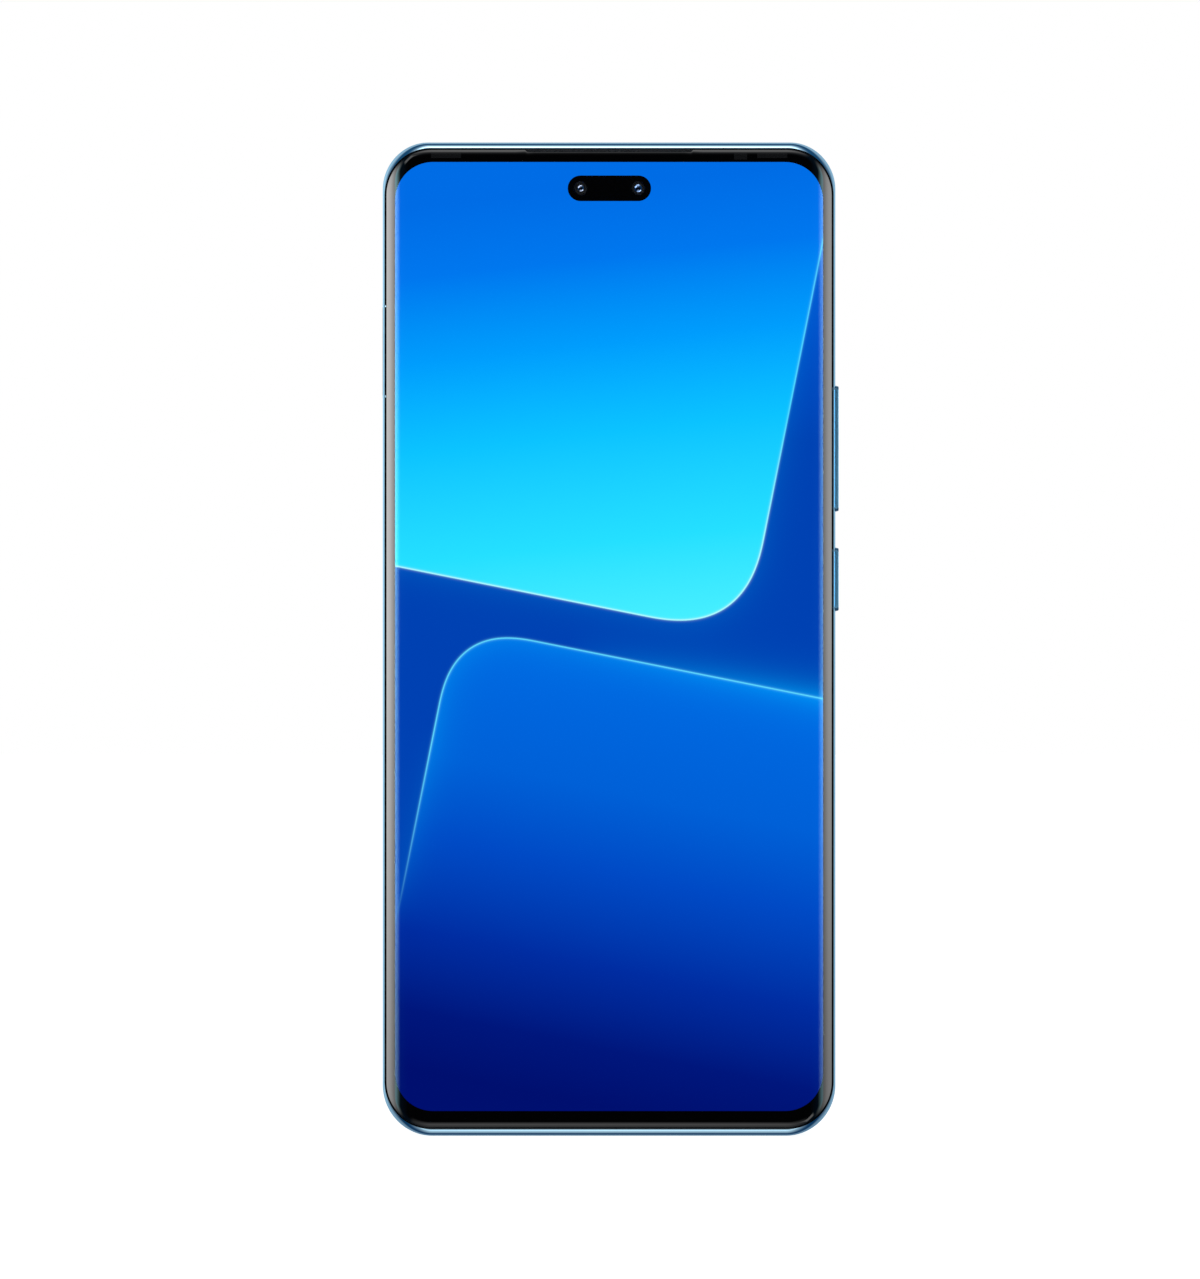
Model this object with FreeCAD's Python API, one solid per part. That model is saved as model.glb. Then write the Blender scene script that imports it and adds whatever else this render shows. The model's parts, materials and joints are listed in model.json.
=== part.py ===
import FreeCAD, Part
import math
import os

os.makedirs("parts", exist_ok=True)

# Smartphone, standing upright on its bottom edge. Millimetres.
# X runs to the right as the user sees the screen, the screen faces -Y, +Z runs up the length.
# The origin is the middle of the charging port's mouth, in the plane of the bottom edge.

# ---- Driving dimensions -----------------------------------------------------------------------

WIDTH = 72.7
LENGTH = 159.2
THICKNESS = 7.2
HALF_WIDTH = WIDTH / 2
HALF_THICKNESS = THICKNESS / 2

# Section across the length: a flat, a gentle arc, a tight arc and a narrow upright edge.
FLAT_HALF_WIDTH = 31.5
GENTLE_RADIUS = 7.24
GENTLE_ANGLE = math.radians(30)
TIGHT_RADIUS = 2.46

# Outline seen from the front.
TOP_CORNER_RADIUS = 7.4
BOTTOM_CORNER_RADIUS = 8.0
FRAME_HALF_THICKNESS = 3.35      # the glass stands 0.25 proud of the rim at both ends
FRAME_EDGE_RADIUS = 1.2

# Cover glass on the front, and the glass back.
GLASS_HALF_WIDTH = 35.75
GLASS_BOTTOM = 1.42
GLASS_TOP = LENGTH - 1.23
GLASS_CORNER_RADIUS = 6.3
GLASS_THICKNESS = 0.55
GLASS_SKIRT = 0.9                # the glass stops this far from the middle plane
GLASS_EDGE_ROUND = 0.3
GLASS_GAP = 0.04
ADHESIVE_THICKNESS = 0.2
ADHESIVE_EDGE_INSET = 0.35
ADHESIVE_SKIRT = 1.0
GLASS_LEDGE_INSET = GLASS_THICKNESS + ADHESIVE_THICKNESS + 0.05
FACE_GAP = 0.02                  # between layers that lie on each other

# Display.
DISPLAY_HALF_WIDTH = 34.28
DISPLAY_BOTTOM = 4.04
DISPLAY_TOP = LENGTH - 3.2
DISPLAY_CORNER_RADIUS = 6.1
DISPLAY_THICKNESS = 0.6
DISPLAY_POCKET_GAP = 0.22
DISPLAY_SKIRT = 1.3

# Pill hole with two front cameras.
PILL_X = 0.05
PILL_Z = LENGTH - 7.45
PILL_LENGTH = 13.34
PILL_HEIGHT = 4.04
FRONT_CAMERA_OFFSET = 4.6
FRONT_BARREL_RADIUS = 1.7

# Earpiece slot along the top edge of the glass.
EARPIECE_HALF_LENGTH = 13.45
EARPIECE_HEIGHT = 0.35

# Sensor windows in the top border: (left, right, bottom, top).
PROXIMITY_WINDOW = (-28.5, -23.7, LENGTH - 2.6, LENGTH - 1.8)
AMBIENT_WINDOW = (20.0, 22.1, LENGTH - 2.85, LENGTH - 1.8)

# Inside of the frame.
CAVITY_HALF_WIDTH = 33.3
CAVITY_BOTTOM = 2.2
CAVITY_TOP = LENGTH - 2.2
CAVITY_CORNER_RADIUS = 4.5
PLATE_BACK = -1.6                # back face of the plate that carries the display
BOARD_FRONT = -1.45
BOARD_THICKNESS = 0.6
BOARD_BACK = BOARD_FRONT + BOARD_THICKNESS
COVER_FRONT = 1.75               # inner covers over the boards
COVER_THICKNESS = 0.55
COVER_BACK = COVER_FRONT + COVER_THICKNESS

# Battery.
BATTERY_HALF_WIDTH = 31.0
BATTERY_BOTTOM = 28.5
BATTERY_TOP = 112.5
BATTERY_FRONT = -1.48
BATTERY_BACK = 2.5

# Side keys on the right.
KEY_PROUD = 0.53
KEY_HALF_HEIGHT = 0.8
KEY_GAP = 0.06
KEY_TRAVEL = 0.25
KEY_FLANGE_HALF_HEIGHT = 1.2
KEY_FLANGE_INNER = 34.45
KEY_FLANGE_OUTER = 34.8
KEY_POCKET_DEPTH_X = 35.1
KEY_POCKET_HALF_HEIGHT = 1.28
KEY_FLANGE_OVERHANG = 0.55
POWER_BOTTOM = LENGTH - 75.0
POWER_TOP = LENGTH - 65.0
VOLUME_BOTTOM = LENGTH - 59.0
VOLUME_TOP = LENGTH - 39.0
VOLUME_PRESS_OFFSET = 7.0        # each volume switch sits this far from the key's middle
NUB_HALF_LENGTH = 0.9
DOME_THICKNESS = 0.3
KEY_STRIP_BOTTOM = POWER_BOTTOM - 1.6
KEY_STRIP_TOP = VOLUME_TOP + 1.6

# SIM tray in the left side.
TRAY_HALF_HEIGHT = 0.8
TRAY_BOTTOM = 118.0
TRAY_TOP = 133.6
TRAY_GAP = 0.06
TRAY_FACE_DEPTH = 1.3
TRAY_PLATE_HALF_THICKNESS = 0.45
TRAY_LENGTH = 17.2
CARD_LENGTH = 12.3
CARD_WIDTH = 8.8
READER_WALL = 0.18
EJECT_RADIUS = 0.45
EJECT_HOLE_Z = 131.6
ROD_RADIUS = 0.4

# Charging port.
USB_SHELL_HALF_WIDTH = 4.47
USB_SHELL_HALF_HEIGHT = 1.58
USB_WALL = 0.3
USB_MOUTH = 0.55
USB_DEPTH = 7.3
USB_OPENING_GAP = 0.12
TONGUE_HALF_WIDTH = 3.34
TONGUE_HALF_THICKNESS = 0.35
TONGUE_START = 1.5

# Loudspeaker, microphones and infrared window.
SPEAKER_HOLES = 6
SPEAKER_HOLE_RADIUS = 0.65
SPEAKER_FIRST_X = 12.5
SPEAKER_PITCH = 2.6
MICROPHONE_HOLE_RADIUS = 0.4
BOTTOM_MICROPHONE_X = -11.0
TOP_MICROPHONE_X = 6.0
INFRARED_X = 15.0
INFRARED_RADIUS = 0.8

# Vibration motor: the mass slides along Z between two leaf springs.
MOTOR_LOW = (-30.0, -1.5, 5.0)
MOTOR_HIGH = (-19.0, 1.6, 22.0)
MOTOR_WALL = 0.25
MASS_MARGIN_SIDE = 0.3
MASS_MARGIN_END = 2.2

# Back cameras, on a raised island.
ISLAND_LEFT = 7.0
ISLAND_RIGHT = 31.0
ISLAND_BOTTOM = 115.6
ISLAND_TOP = 152.4
ISLAND_CORNER_RADIUS = 6.5
ISLAND_PROUD = 1.1
MAIN_LENS = (21.4, 143.1)
WIDE_LENS = (21.4, 125.1)
MACRO_LENS = (11.3, 141.0)
FLASH = (11.3, 129.0)
BIG_RING_RADIUS = 6.8
SMALL_RING_RADIUS = 2.9
FLASH_RADIUS = 2.3
RING_WIDTH = 0.9
RING_PROUD = 0.6
WINDOW_THICKNESS = 0.5
BARREL_RADIUS = 4.2
BARREL_GAP = 0.15
FOCUS_TRAVEL = 0.3

# Screws.
SCREW_RADIUS = 0.6
SCREW_HEAD_RADIUS = 1.15
SCREW_HEAD_HEIGHT = 0.4
SCREW_TIP = -0.8
BOSS_RADIUS = 1.3
BOSS_CLEARANCE = 0.3
SCREW_FIT = 0.03
MAIN_COVER_SCREWS = [(-29.5, 153.0), (-29.5, 116.8), (4.6, 117.4), (4.6, 146.2)]
CAMERA_BRACKET_SCREWS = [(10.0, 118.4), (30.6, 135.0), (10.2, 152.8)]
BOTTOM_COVER_SCREWS = [(-16.7, 23.6), (-16.7, 6.4), (5.6, 23.6)]
LOUDSPEAKER_SCREWS = [(11.6, 24.4), (30.4, 24.4), (30.4, 5.6)]
ALL_SCREWS = MAIN_COVER_SCREWS + CAMERA_BRACKET_SCREWS + BOTTOM_COVER_SCREWS + LOUDSPEAKER_SCREWS

FAR = 60.0                       # a length beyond every face, for half-spaces


# ---- Shape helpers ----------------------------------------------------------------------------

def point(x, y, z):
    return FreeCAD.Vector(x, y, z)


def box(x_span, y_span, z_span):
    """Rectangular block between two limits on each axis."""
    size = [high - low for low, high in (x_span, y_span, z_span)]
    return Part.makeBox(*size, point(x_span[0], y_span[0], z_span[0]))


def rounded_outline(span_a, span_b, radius_low, radius_high, place):
    """Closed outline with round corners; place(a, b) puts a flat point in space."""
    (a_low, a_high), (b_low, b_high) = span_a, span_b
    corners = [
        (a_high - radius_low, b_low + radius_low, radius_low, -90),
        (a_high - radius_high, b_high - radius_high, radius_high, 0),
        (a_low + radius_high, b_high - radius_high, radius_high, 90),
        (a_low + radius_low, b_low + radius_low, radius_low, 180),
    ]
    arcs = []
    for centre_a, centre_b, radius, start in corners:
        arc = []
        for step in (0, 45, 90):
            turn = math.radians(start + step)
            arc.append(place(centre_a + radius * math.cos(turn), centre_b + radius * math.sin(turn)))
        arcs.append(arc)
    edges = []
    for index, arc in enumerate(arcs):
        edges.append(Part.Arc(*arc).toShape())
        following = arcs[(index + 1) % len(arcs)][0]
        if arc[2].distanceToPoint(following) > 1e-6:
            edges.append(Part.LineSegment(arc[2], following).toShape())
    return Part.Wire(edges)


def slab(x_span, z_span, y_span, radius, radius_high=None):
    """Plate with round corners in the XZ plane, extruded along Y."""
    radius_high = radius if radius_high is None else radius_high
    wire = rounded_outline(x_span, z_span, radius, radius_high, lambda a, b: point(a, y_span[0], b))
    return Part.Face(wire).extrude(point(0, y_span[1] - y_span[0], 0))


def bar_along_x(y_span, z_span, x_span, radius):
    """Bar with a rounded section in the YZ plane, extruded along X."""
    wire = rounded_outline(y_span, z_span, radius, radius, lambda a, b: point(x_span[0], a, b))
    return Part.Face(wire).extrude(point(x_span[1] - x_span[0], 0, 0))


def bar_along_z(x_span, y_span, z_span, radius):
    """Bar with a rounded section in the XY plane, extruded along Z."""
    wire = rounded_outline(x_span, y_span, radius, radius, lambda a, b: point(a, b, z_span[0]))
    return Part.Face(wire).extrude(point(0, 0, z_span[1] - z_span[0]))


def disc(place, radius, y_span):
    """Round disc or post along Y at place (x, z)."""
    foot = point(place[0], y_span[0], place[1])
    return Part.makeCylinder(radius, y_span[1] - y_span[0], foot, point(0, 1, 0))


def rod_along_x(y, z, radius, x_span):
    return Part.makeCylinder(radius, x_span[1] - x_span[0], point(x_span[0], y, z), point(1, 0, 0))


def rod_along_z(x, y, radius, z_span):
    return Part.makeCylinder(radius, z_span[1] - z_span[0], point(x, y, z_span[0]), point(0, 0, 1))


def join(shapes):
    """Fuse touching or overlapping shapes into one solid."""
    result = shapes[0]
    for shape in shapes[1:]:
        result = result.fuse(shape)
    return result.removeSplitter()


def cut_all(shape, tools):
    for tool in tools:
        shape = shape.cut(tool)
    return shape


def group(shapes):
    """Separate solids kept in one node."""
    return Part.makeCompound([solid for shape in shapes for solid in shape.Solids])


def span(centre, half):
    return (centre - half, centre + half)


def shrunk(limits, margin):
    return (limits[0] + margin, limits[1] - margin)


def around(place, half_x, half_z=None):
    """X and Z limits of a rectangle centred on place (x, z)."""
    half_z = half_x if half_z is None else half_z
    return span(place[0], half_x), span(place[1], half_z)


def save(node, shape):
    solids = shape.Solids
    if not solids or not all(solid.isValid() for solid in solids):
        raise ValueError("bad shape for " + node)
    result = solids[0] if len(solids) == 1 else Part.makeCompound(solids)
    result.exportStep("parts/" + node + ".step")
    print(node, len(solids), round(result.Volume, 2))


# ---- Outer form -------------------------------------------------------------------------------

def side_section(inset):
    """Closed section across the length, with every face moved inwards by inset."""
    gentle = GENTLE_RADIUS - inset
    tight = TIGHT_RADIUS - inset
    gentle_x = FLAT_HALF_WIDTH
    gentle_y = HALF_THICKNESS - GENTLE_RADIUS
    tight_x = gentle_x + (GENTLE_RADIUS - TIGHT_RADIUS) * math.sin(GENTLE_ANGLE)
    tight_y = gentle_y + (GENTLE_RADIUS - TIGHT_RADIUS) * math.cos(GENTLE_ANGLE)
    quarter = []
    for centre_x, centre_y, radius, start, end in (
        (gentle_x, gentle_y, gentle, 0, GENTLE_ANGLE),
        (tight_x, tight_y, tight, GENTLE_ANGLE, math.pi / 2),
    ):
        arc = []
        for angle in (start, (start + end) / 2, end):
            arc.append((centre_x + radius * math.sin(angle), centre_y + radius * math.cos(angle)))
        quarter.append(arc)
    edges = []
    for sign_x in (1, -1):
        for sign_y in (1, -1):
            for arc in quarter:
                edges.append(Part.Arc(*[point(sign_x * x, sign_y * y, -1) for x, y in arc]).toShape())
        edge_x = sign_x * (HALF_WIDTH - inset)
        edges.append(Part.LineSegment(point(edge_x, tight_y, -1), point(edge_x, -tight_y, -1)).toShape())
    for sign_y in (1, -1):
        face_y = sign_y * (HALF_THICKNESS - inset)
        left, right = point(-FLAT_HALF_WIDTH, face_y, -1), point(FLAT_HALF_WIDTH, face_y, -1)
        edges.append(Part.LineSegment(left, right).toShape())
    return Part.Wire(Part.__sortEdges__(edges))


def curved_body(inset):
    """The curved section drawn out past both ends of the phone."""
    return Part.Face(side_section(inset)).extrude(point(0, 0, LENGTH + 2))


def curved_layer(outline, outer_inset, inner_inset, side, skirt=GLASS_SKIRT):
    """Layer that follows the curved section inside an outline; side -1 is the front, +1 the back."""
    y_span = (-FAR, -skirt) if side < 0 else (skirt, FAR)
    shell = curved_body(outer_inset).cut(curved_body(inner_inset))
    return shell.common(outline).common(box((-FAR, FAR), y_span, (-FAR, LENGTH + FAR)))


def beyond_layer(outline, inset, side, skirt):
    """Everything inside an outline and outside the curved section, to cut a pocket with."""
    y_span = (-FAR, -skirt) if side < 0 else (skirt, FAR)
    half_space = box((-FAR, FAR), y_span, (-FAR, LENGTH + FAR))
    return outline.common(half_space).cut(curved_body(inset))


def glass_outline(grow):
    return slab(
        span(0, GLASS_HALF_WIDTH + grow), (GLASS_BOTTOM - grow, GLASS_TOP + grow),
        (-FAR / 2, FAR / 2), GLASS_CORNER_RADIUS + grow,
    )


def display_outline(grow):
    return slab(
        span(0, DISPLAY_HALF_WIDTH + grow), (DISPLAY_BOTTOM - grow, DISPLAY_TOP + grow),
        (-FAR / 2, FAR / 2), DISPLAY_CORNER_RADIUS + grow,
    )


def frame_envelope():
    """Outer form of the metal frame: curved sides, straight ends, round corners."""
    blank = slab(
        span(0, HALF_WIDTH), (0, LENGTH), span(0, FRAME_HALF_THICKNESS),
        BOTTOM_CORNER_RADIUS, TOP_CORNER_RADIUS,
    )
    rim = [edge for edge in blank.Edges if edge.BoundBox.YLength < 1e-6]
    blank = blank.makeFillet(FRAME_EDGE_RADIUS, rim)
    return blank.common(curved_body(0))


# ---- Frame ------------------------------------------------------------------------------------

def front_camera_places():
    return [(PILL_X + sign * FRONT_CAMERA_OFFSET, PILL_Z) for sign in (-1, 1)]


def speaker_hole_places():
    return [SPEAKER_FIRST_X + SPEAKER_PITCH * index for index in range(SPEAKER_HOLES)]


def front_pockets():
    """Seats for the cover glass, the display and what lies behind it."""
    display_floor = GLASS_THICKNESS + DISPLAY_THICKNESS + 0.1
    pockets = [
        beyond_layer(glass_outline(GLASS_GAP), GLASS_LEDGE_INSET, -1, GLASS_SKIRT - 0.05),
        beyond_layer(display_outline(DISPLAY_POCKET_GAP), display_floor, -1, DISPLAY_SKIRT),
        box(DISPLAY_FLEX_X, (-HALF_THICKNESS, -2.05), (7.8, 25.9)),
        box(DISPLAY_FLEX_X, (-2.4, PLATE_BACK + 0.1), (24.9, 25.9)),
        slab(*FINGERPRINT_SPANS, (-2.4, PLATE_BACK + 0.1), 0.5),
    ]
    for place in front_camera_places():
        pockets.append(disc(place, FRONT_BARREL_RADIUS + 0.25, (-HALF_THICKNESS, 0)))
    for left, right, bottom, top in (PROXIMITY_WINDOW, AMBIENT_WINDOW):
        grown = ((left - 0.1, right + 0.1), (-HALF_THICKNESS, -2.1), (bottom - 0.05, top + 0.05))
        pockets.append(box(*grown))
    slot_x = span(0, EARPIECE_HALF_LENGTH)
    pockets.append(box(slot_x, (-HALF_THICKNESS, -1.2), (CAVITY_TOP - 0.3, GLASS_TOP + 0.1)))
    return pockets


def back_pockets():
    return [
        beyond_layer(glass_outline(GLASS_GAP), GLASS_LEDGE_INSET, 1, GLASS_SKIRT - 0.05),
        slab(
            span(0, CAVITY_HALF_WIDTH), (CAVITY_BOTTOM, CAVITY_TOP),
            (PLATE_BACK, HALF_THICKNESS), CAVITY_CORNER_RADIUS,
        ),
    ]


def side_openings():
    """Slots for the keys and the SIM tray, and the eject pin's hole."""
    cuts = [box((CAVITY_HALF_WIDTH - 0.1, KEY_POCKET_DEPTH_X), span(0, KEY_POCKET_HALF_HEIGHT),
                (KEY_STRIP_BOTTOM, KEY_STRIP_TOP))]
    for low, high in ((POWER_BOTTOM, POWER_TOP), (VOLUME_BOTTOM, VOLUME_TOP)):
        half = KEY_HALF_HEIGHT + KEY_GAP
        cuts.append(bar_along_x(span(0, half), (low - KEY_GAP, high + KEY_GAP),
                                (KEY_POCKET_DEPTH_X - 0.2, HALF_WIDTH + 1), half))
    half = TRAY_HALF_HEIGHT + TRAY_GAP
    cuts.append(bar_along_x(span(0, half), (TRAY_BOTTOM - TRAY_GAP, TRAY_TOP + TRAY_GAP),
                            (-HALF_WIDTH - 1, -CAVITY_HALF_WIDTH + 0.1), half))
    return cuts


def end_openings():
    """Charging port, microphone holes, loudspeaker holes and the infrared window."""
    gap = USB_OPENING_GAP
    half_height = USB_SHELL_HALF_HEIGHT + gap
    cuts = [
        bar_along_z(span(0, USB_SHELL_HALF_WIDTH + gap), span(0, half_height),
                    (-1, CAVITY_BOTTOM + 0.1), half_height),
        rod_along_z(BOTTOM_MICROPHONE_X, 0, MICROPHONE_HOLE_RADIUS, (-1, CAVITY_BOTTOM + 0.1)),
        rod_along_z(TOP_MICROPHONE_X, 0, MICROPHONE_HOLE_RADIUS, (CAVITY_TOP - 0.1, LENGTH + 1)),
        rod_along_z(INFRARED_X, 0, INFRARED_RADIUS, (CAVITY_TOP - 0.1, LENGTH + 1)),
    ]
    for x in speaker_hole_places():
        cuts.append(rod_along_z(x, 0, SPEAKER_HOLE_RADIUS, (-1, CAVITY_BOTTOM + 0.1)))
    return cuts


def mid_frame():
    frame = cut_all(frame_envelope(), front_pockets() + back_pockets() + side_openings() + end_openings())
    bosses = [disc(place, BOSS_RADIUS, (PLATE_BACK - 0.1, COVER_FRONT)) for place in ALL_SCREWS]
    frame = join([frame] + bosses)
    hole_span = (SCREW_TIP - 0.1, COVER_FRONT + 0.1)
    return cut_all(frame, [disc(place, SCREW_RADIUS + SCREW_FIT, hole_span) for place in ALL_SCREWS])


# ---- Front ------------------------------------------------------------------------------------

DISPLAY_FLEX_X = (-15.0, -6.0)
FINGERPRINT_SPANS = ((-4.2, 4.2), (17.0, 24.0))


def cover_glass(side):
    """Curved-side glass with its outer rim slightly rounded at both ends."""
    glass = curved_layer(glass_outline(0), 0, GLASS_THICKNESS, side)
    outer_y = side * HALF_THICKNESS
    rim = []
    for edge in glass.Edges:
        bounds = edge.BoundBox
        at_end = bounds.ZMax > GLASS_TOP - 0.01 or bounds.ZMin < GLASS_BOTTOM + 0.01
        if at_end and abs(bounds.YMin - outer_y) < 1e-6 and abs(bounds.YMax - outer_y) < 1e-6:
            if bounds.ZLength < 1e-6:
                rim.append(edge)
    return glass.makeChamfer(GLASS_EDGE_ROUND, rim)


def front_glass():
    notch = slab(span(0, EARPIECE_HALF_LENGTH), (GLASS_TOP - EARPIECE_HEIGHT, GLASS_TOP + 1),
                 (-FAR / 2, 0), 0.2)
    return cover_glass(-1).cut(notch)


def display_panel():
    back_inset = GLASS_THICKNESS + DISPLAY_THICKNESS
    panel = curved_layer(display_outline(0), GLASS_THICKNESS + FACE_GAP, back_inset, -1, 0)
    pill_radius = PILL_HEIGHT / 2 - 0.001
    hole = slab(span(PILL_X, PILL_LENGTH / 2), span(PILL_Z, PILL_HEIGHT / 2), (-FAR / 2, 0), pill_radius)
    return panel.cut(hole)


def adhesive_layer(side):
    """Full layer between a glass and the frame's ledge, before its middle is cut out."""
    outline = glass_outline(-ADHESIVE_EDGE_INSET)
    back_inset = GLASS_THICKNESS + ADHESIVE_THICKNESS
    return curved_layer(outline, GLASS_THICKNESS + FACE_GAP, back_inset, side, ADHESIVE_SKIRT)


def display_adhesive():
    """Bead between the glass and the frame's ledge, open at the earpiece and the sensors."""
    ring = adhesive_layer(-1).cut(display_outline(DISPLAY_POCKET_GAP + 0.13))
    return ring.cut(box(span(0, 30), (-FAR, 0), (DISPLAY_TOP, LENGTH)))


def display_flex():
    """Ribbon from the display through the plate to its plug on the lower board."""
    x_span = (DISPLAY_FLEX_X[0] + 0.4, DISPLAY_FLEX_X[1] - 0.4)
    return join([
        box(x_span, (-2.35, -2.2), (8.5, 25.5)),
        box(x_span, (-2.35, -0.6), (25.35, 25.5)),
        box(x_span, (-0.75, -0.6), (17.2, 25.5)),
        box((x_span[0] + 0.5, x_span[1] - 0.5), (BOARD_BACK, -0.1), (17.6, 19.8)),
    ])


def graphite_sheet():
    return slab(span(0, 30.5), (30, 146), (-2.42, -2.36), 3)


def fingerprint_sensor():
    (x_low, x_high), (z_low, z_high) = FINGERPRINT_SPANS
    return slab((x_low + 0.1, x_high - 0.1), (z_low + 0.1, z_high - 0.1), (-2.35, -1.65), 0.4)


def window_sensor(window, depth):
    left, right, bottom, top = window
    return box((left, right), (-2.75, -2.75 + depth), (bottom, top))


def front_camera(place):
    """Square module body with a round barrel that reaches up to the glass."""
    body = slab(*around(place, 3.2), (-1.45, 1.0), 0.4)
    barrel = disc(place, FRONT_BARREL_RADIUS, (-2.95, -1.4))
    return join([body, barrel]).cut(disc(place, 0.55, (-3.0, -2.6)))


def earpiece_mesh():
    z_span = (GLASS_TOP - EARPIECE_HEIGHT, GLASS_TOP + 0.08)
    return box(span(0, EARPIECE_HALF_LENGTH - 0.1), (-3.0, -2.85), z_span)


EARPIECE_SPANS = ((-22.5, -8.6), (148.6, 155.9))
EARPIECE_Y = (-1.5, 1.3)


def earpiece_case():
    """Hollow case with a sound port in its top wall."""
    (x_low, x_high), (z_low, z_high) = EARPIECE_SPANS
    wall = 0.35
    case = slab((x_low, x_high), (z_low, z_high), EARPIECE_Y, 0.8)
    room = slab((x_low + wall, x_high - wall), (z_low + wall, z_high - wall),
                (EARPIECE_Y[0] + wall, EARPIECE_Y[1] - wall), 0.5)
    port = box((-13.2, x_high - 1.0), (-1.1, -0.3), (z_high - 1, z_high + 1))
    return cut_all(case, [room, port])


def diaphragm(spans, margin, y_span, radius):
    """Stiff oval plate with a shallow raised crown."""
    (x_low, x_high), (z_low, z_high) = spans
    plate = slab((x_low + margin, x_high - margin), (z_low + margin, z_high - margin), y_span, radius)
    crown = slab((x_low + 2 * margin, x_high - 2 * margin), (z_low + 2 * margin, z_high - 2 * margin),
                 (y_span[0] - 0.15, y_span[0] + 0.05), radius)
    return join([plate, crown])


# ---- Battery and boards -----------------------------------------------------------------------

def battery():
    y_span = (BATTERY_FRONT, BATTERY_BACK)
    return slab(span(0, BATTERY_HALF_WIDTH), (BATTERY_BOTTOM, BATTERY_TOP), y_span, 1.0)


def battery_adhesive():
    """Two pull-out strips that hold the battery on the frame's plate."""
    z_span = (BATTERY_BOTTOM + 4, BATTERY_TOP - 4)
    return group([slab(span(x, 6), z_span, (PLATE_BACK, BATTERY_FRONT), 1) for x in (-18, 18)])


def battery_flex():
    """Protection board at the battery's top, with a tail to its plug on the main board."""
    return join([
        box((-26, -6), (-0.85, 0.9), (BATTERY_TOP, BATTERY_TOP + 1.4)),
        box((-14.0, -8.0), (-0.85, -0.7), (BATTERY_TOP + 1.3, 118.6)),
        box((-13.4, -8.6), (-0.7, -0.05), (115.8, 118.4)),
    ])


MAIN_BOARD_LEFT = -33.0
MAIN_BOARD_RIGHT = 7.2
MAIN_BOARD_BOTTOM = 114.6
SHIELD_WALL = 0.2


def boss_clearances(places, y_span):
    return [disc(place, BOSS_RADIUS + BOSS_CLEARANCE, y_span) for place in places]


def main_board():
    """L-shaped board that leaves room for the earpiece and the front cameras."""
    y_span = (BOARD_FRONT, BOARD_BACK)
    board = join([
        slab((MAIN_BOARD_LEFT, MAIN_BOARD_RIGHT), (MAIN_BOARD_BOTTOM, 148.2), y_span, 0.8),
        slab((MAIN_BOARD_LEFT, -23.0), (140, 155.6), y_span, 0.8, 4.0),
    ])
    return cut_all(board, boss_clearances(ALL_SCREWS, (-3, 0)))


def shield(x_span, z_span, height):
    """Pressed can: five walls, open towards the board."""
    y_span = (BOARD_BACK, BOARD_BACK + height)
    can = slab(x_span, z_span, y_span, 0.6)
    room_y = (y_span[0] - 0.1, y_span[1] - SHIELD_WALL)
    return can.cut(slab(shrunk(x_span, SHIELD_WALL), shrunk(z_span, SHIELD_WALL), room_y, 0.4))


PROCESSOR_SPANS = ((-14.6, 1.8), (120.0, 134.8))
RADIO_SPANS = ((-31.5, 1.8), (136.6, 147.4))
PROCESSOR_SHIELD_HEIGHT = 1.5


def shield_pad():
    low = BOARD_BACK + PROCESSOR_SHIELD_HEIGHT
    return slab((-12.6, -0.2), (122, 132.8), (low, low + 1.0), 0.5)


def plate_cover(x_span, z_span, screws, radius):
    """Flat inner cover with a clearance hole for each screw."""
    plate = slab(x_span, z_span, (COVER_FRONT, COVER_BACK), radius)
    return cut_all(plate, [disc(place, SCREW_RADIUS + SCREW_FIT, (0, 4)) for place in screws])


def nfc_coil():
    """Flat ring antenna on the main board's cover."""
    y_span = (COVER_BACK, COVER_BACK + 0.15)
    outer = slab((-25.5, 2.0), (119.5, 144.5), y_span, 4)
    return outer.cut(slab((-20.5, -3.0), (124.5, 139.5), (0, 4), 2))


def sub_board():
    y_span = (BOARD_FRONT, BOARD_BACK)
    board = slab((-18.6, 8.0), (3.4, 26.0), y_span, 0.8)
    notch = box(span(0, USB_SHELL_HALF_WIDTH + 0.15), (-3, 0), (0, USB_MOUTH + USB_DEPTH + 0.15))
    gate = box((-15.2, -5.8), (-3, 0), (24.8, 27))
    return cut_all(board, [notch, gate] + boss_clearances(ALL_SCREWS, (-3, 0)))


def main_flex():
    """Ribbon over the battery that links the two boards, with a plug on each."""
    x_span = (-4.8, 0.8)
    return join([
        box(x_span, (-0.7, -0.55), (17.0, 27.6)),
        box(x_span, (-0.7, 2.7), (27.45, 27.6)),
        box(x_span, (2.55, 2.7), (27.45, 113.8)),
        box(x_span, (-0.7, 2.7), (113.65, 113.8)),
        box(x_span, (-0.7, -0.55), (113.65, 119.4)),
        box((-4.5, 0.5), (BOARD_BACK, -0.65), (17.4, 19.6)),
        box((-4.5, 0.5), (BOARD_BACK, -0.65), (117.0, 119.0)),
    ])


def frame_screws():
    screws = []
    for place in ALL_SCREWS:
        shank = disc(place, SCREW_RADIUS, (SCREW_TIP, COVER_BACK))
        head = disc(place, SCREW_HEAD_RADIUS, (COVER_BACK, COVER_BACK + SCREW_HEAD_HEIGHT))
        slot = box(span(place[0], 0.7), (COVER_BACK + 0.2, COVER_BACK + 1), span(place[1], 0.15))
        cross = box(span(place[0], 0.15), (COVER_BACK + 0.2, COVER_BACK + 1), span(place[1], 0.7))
        screws.append(cut_all(join([shank, head]), [slot, cross]))
    return group(screws)


# ---- Bottom end -------------------------------------------------------------------------------

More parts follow.
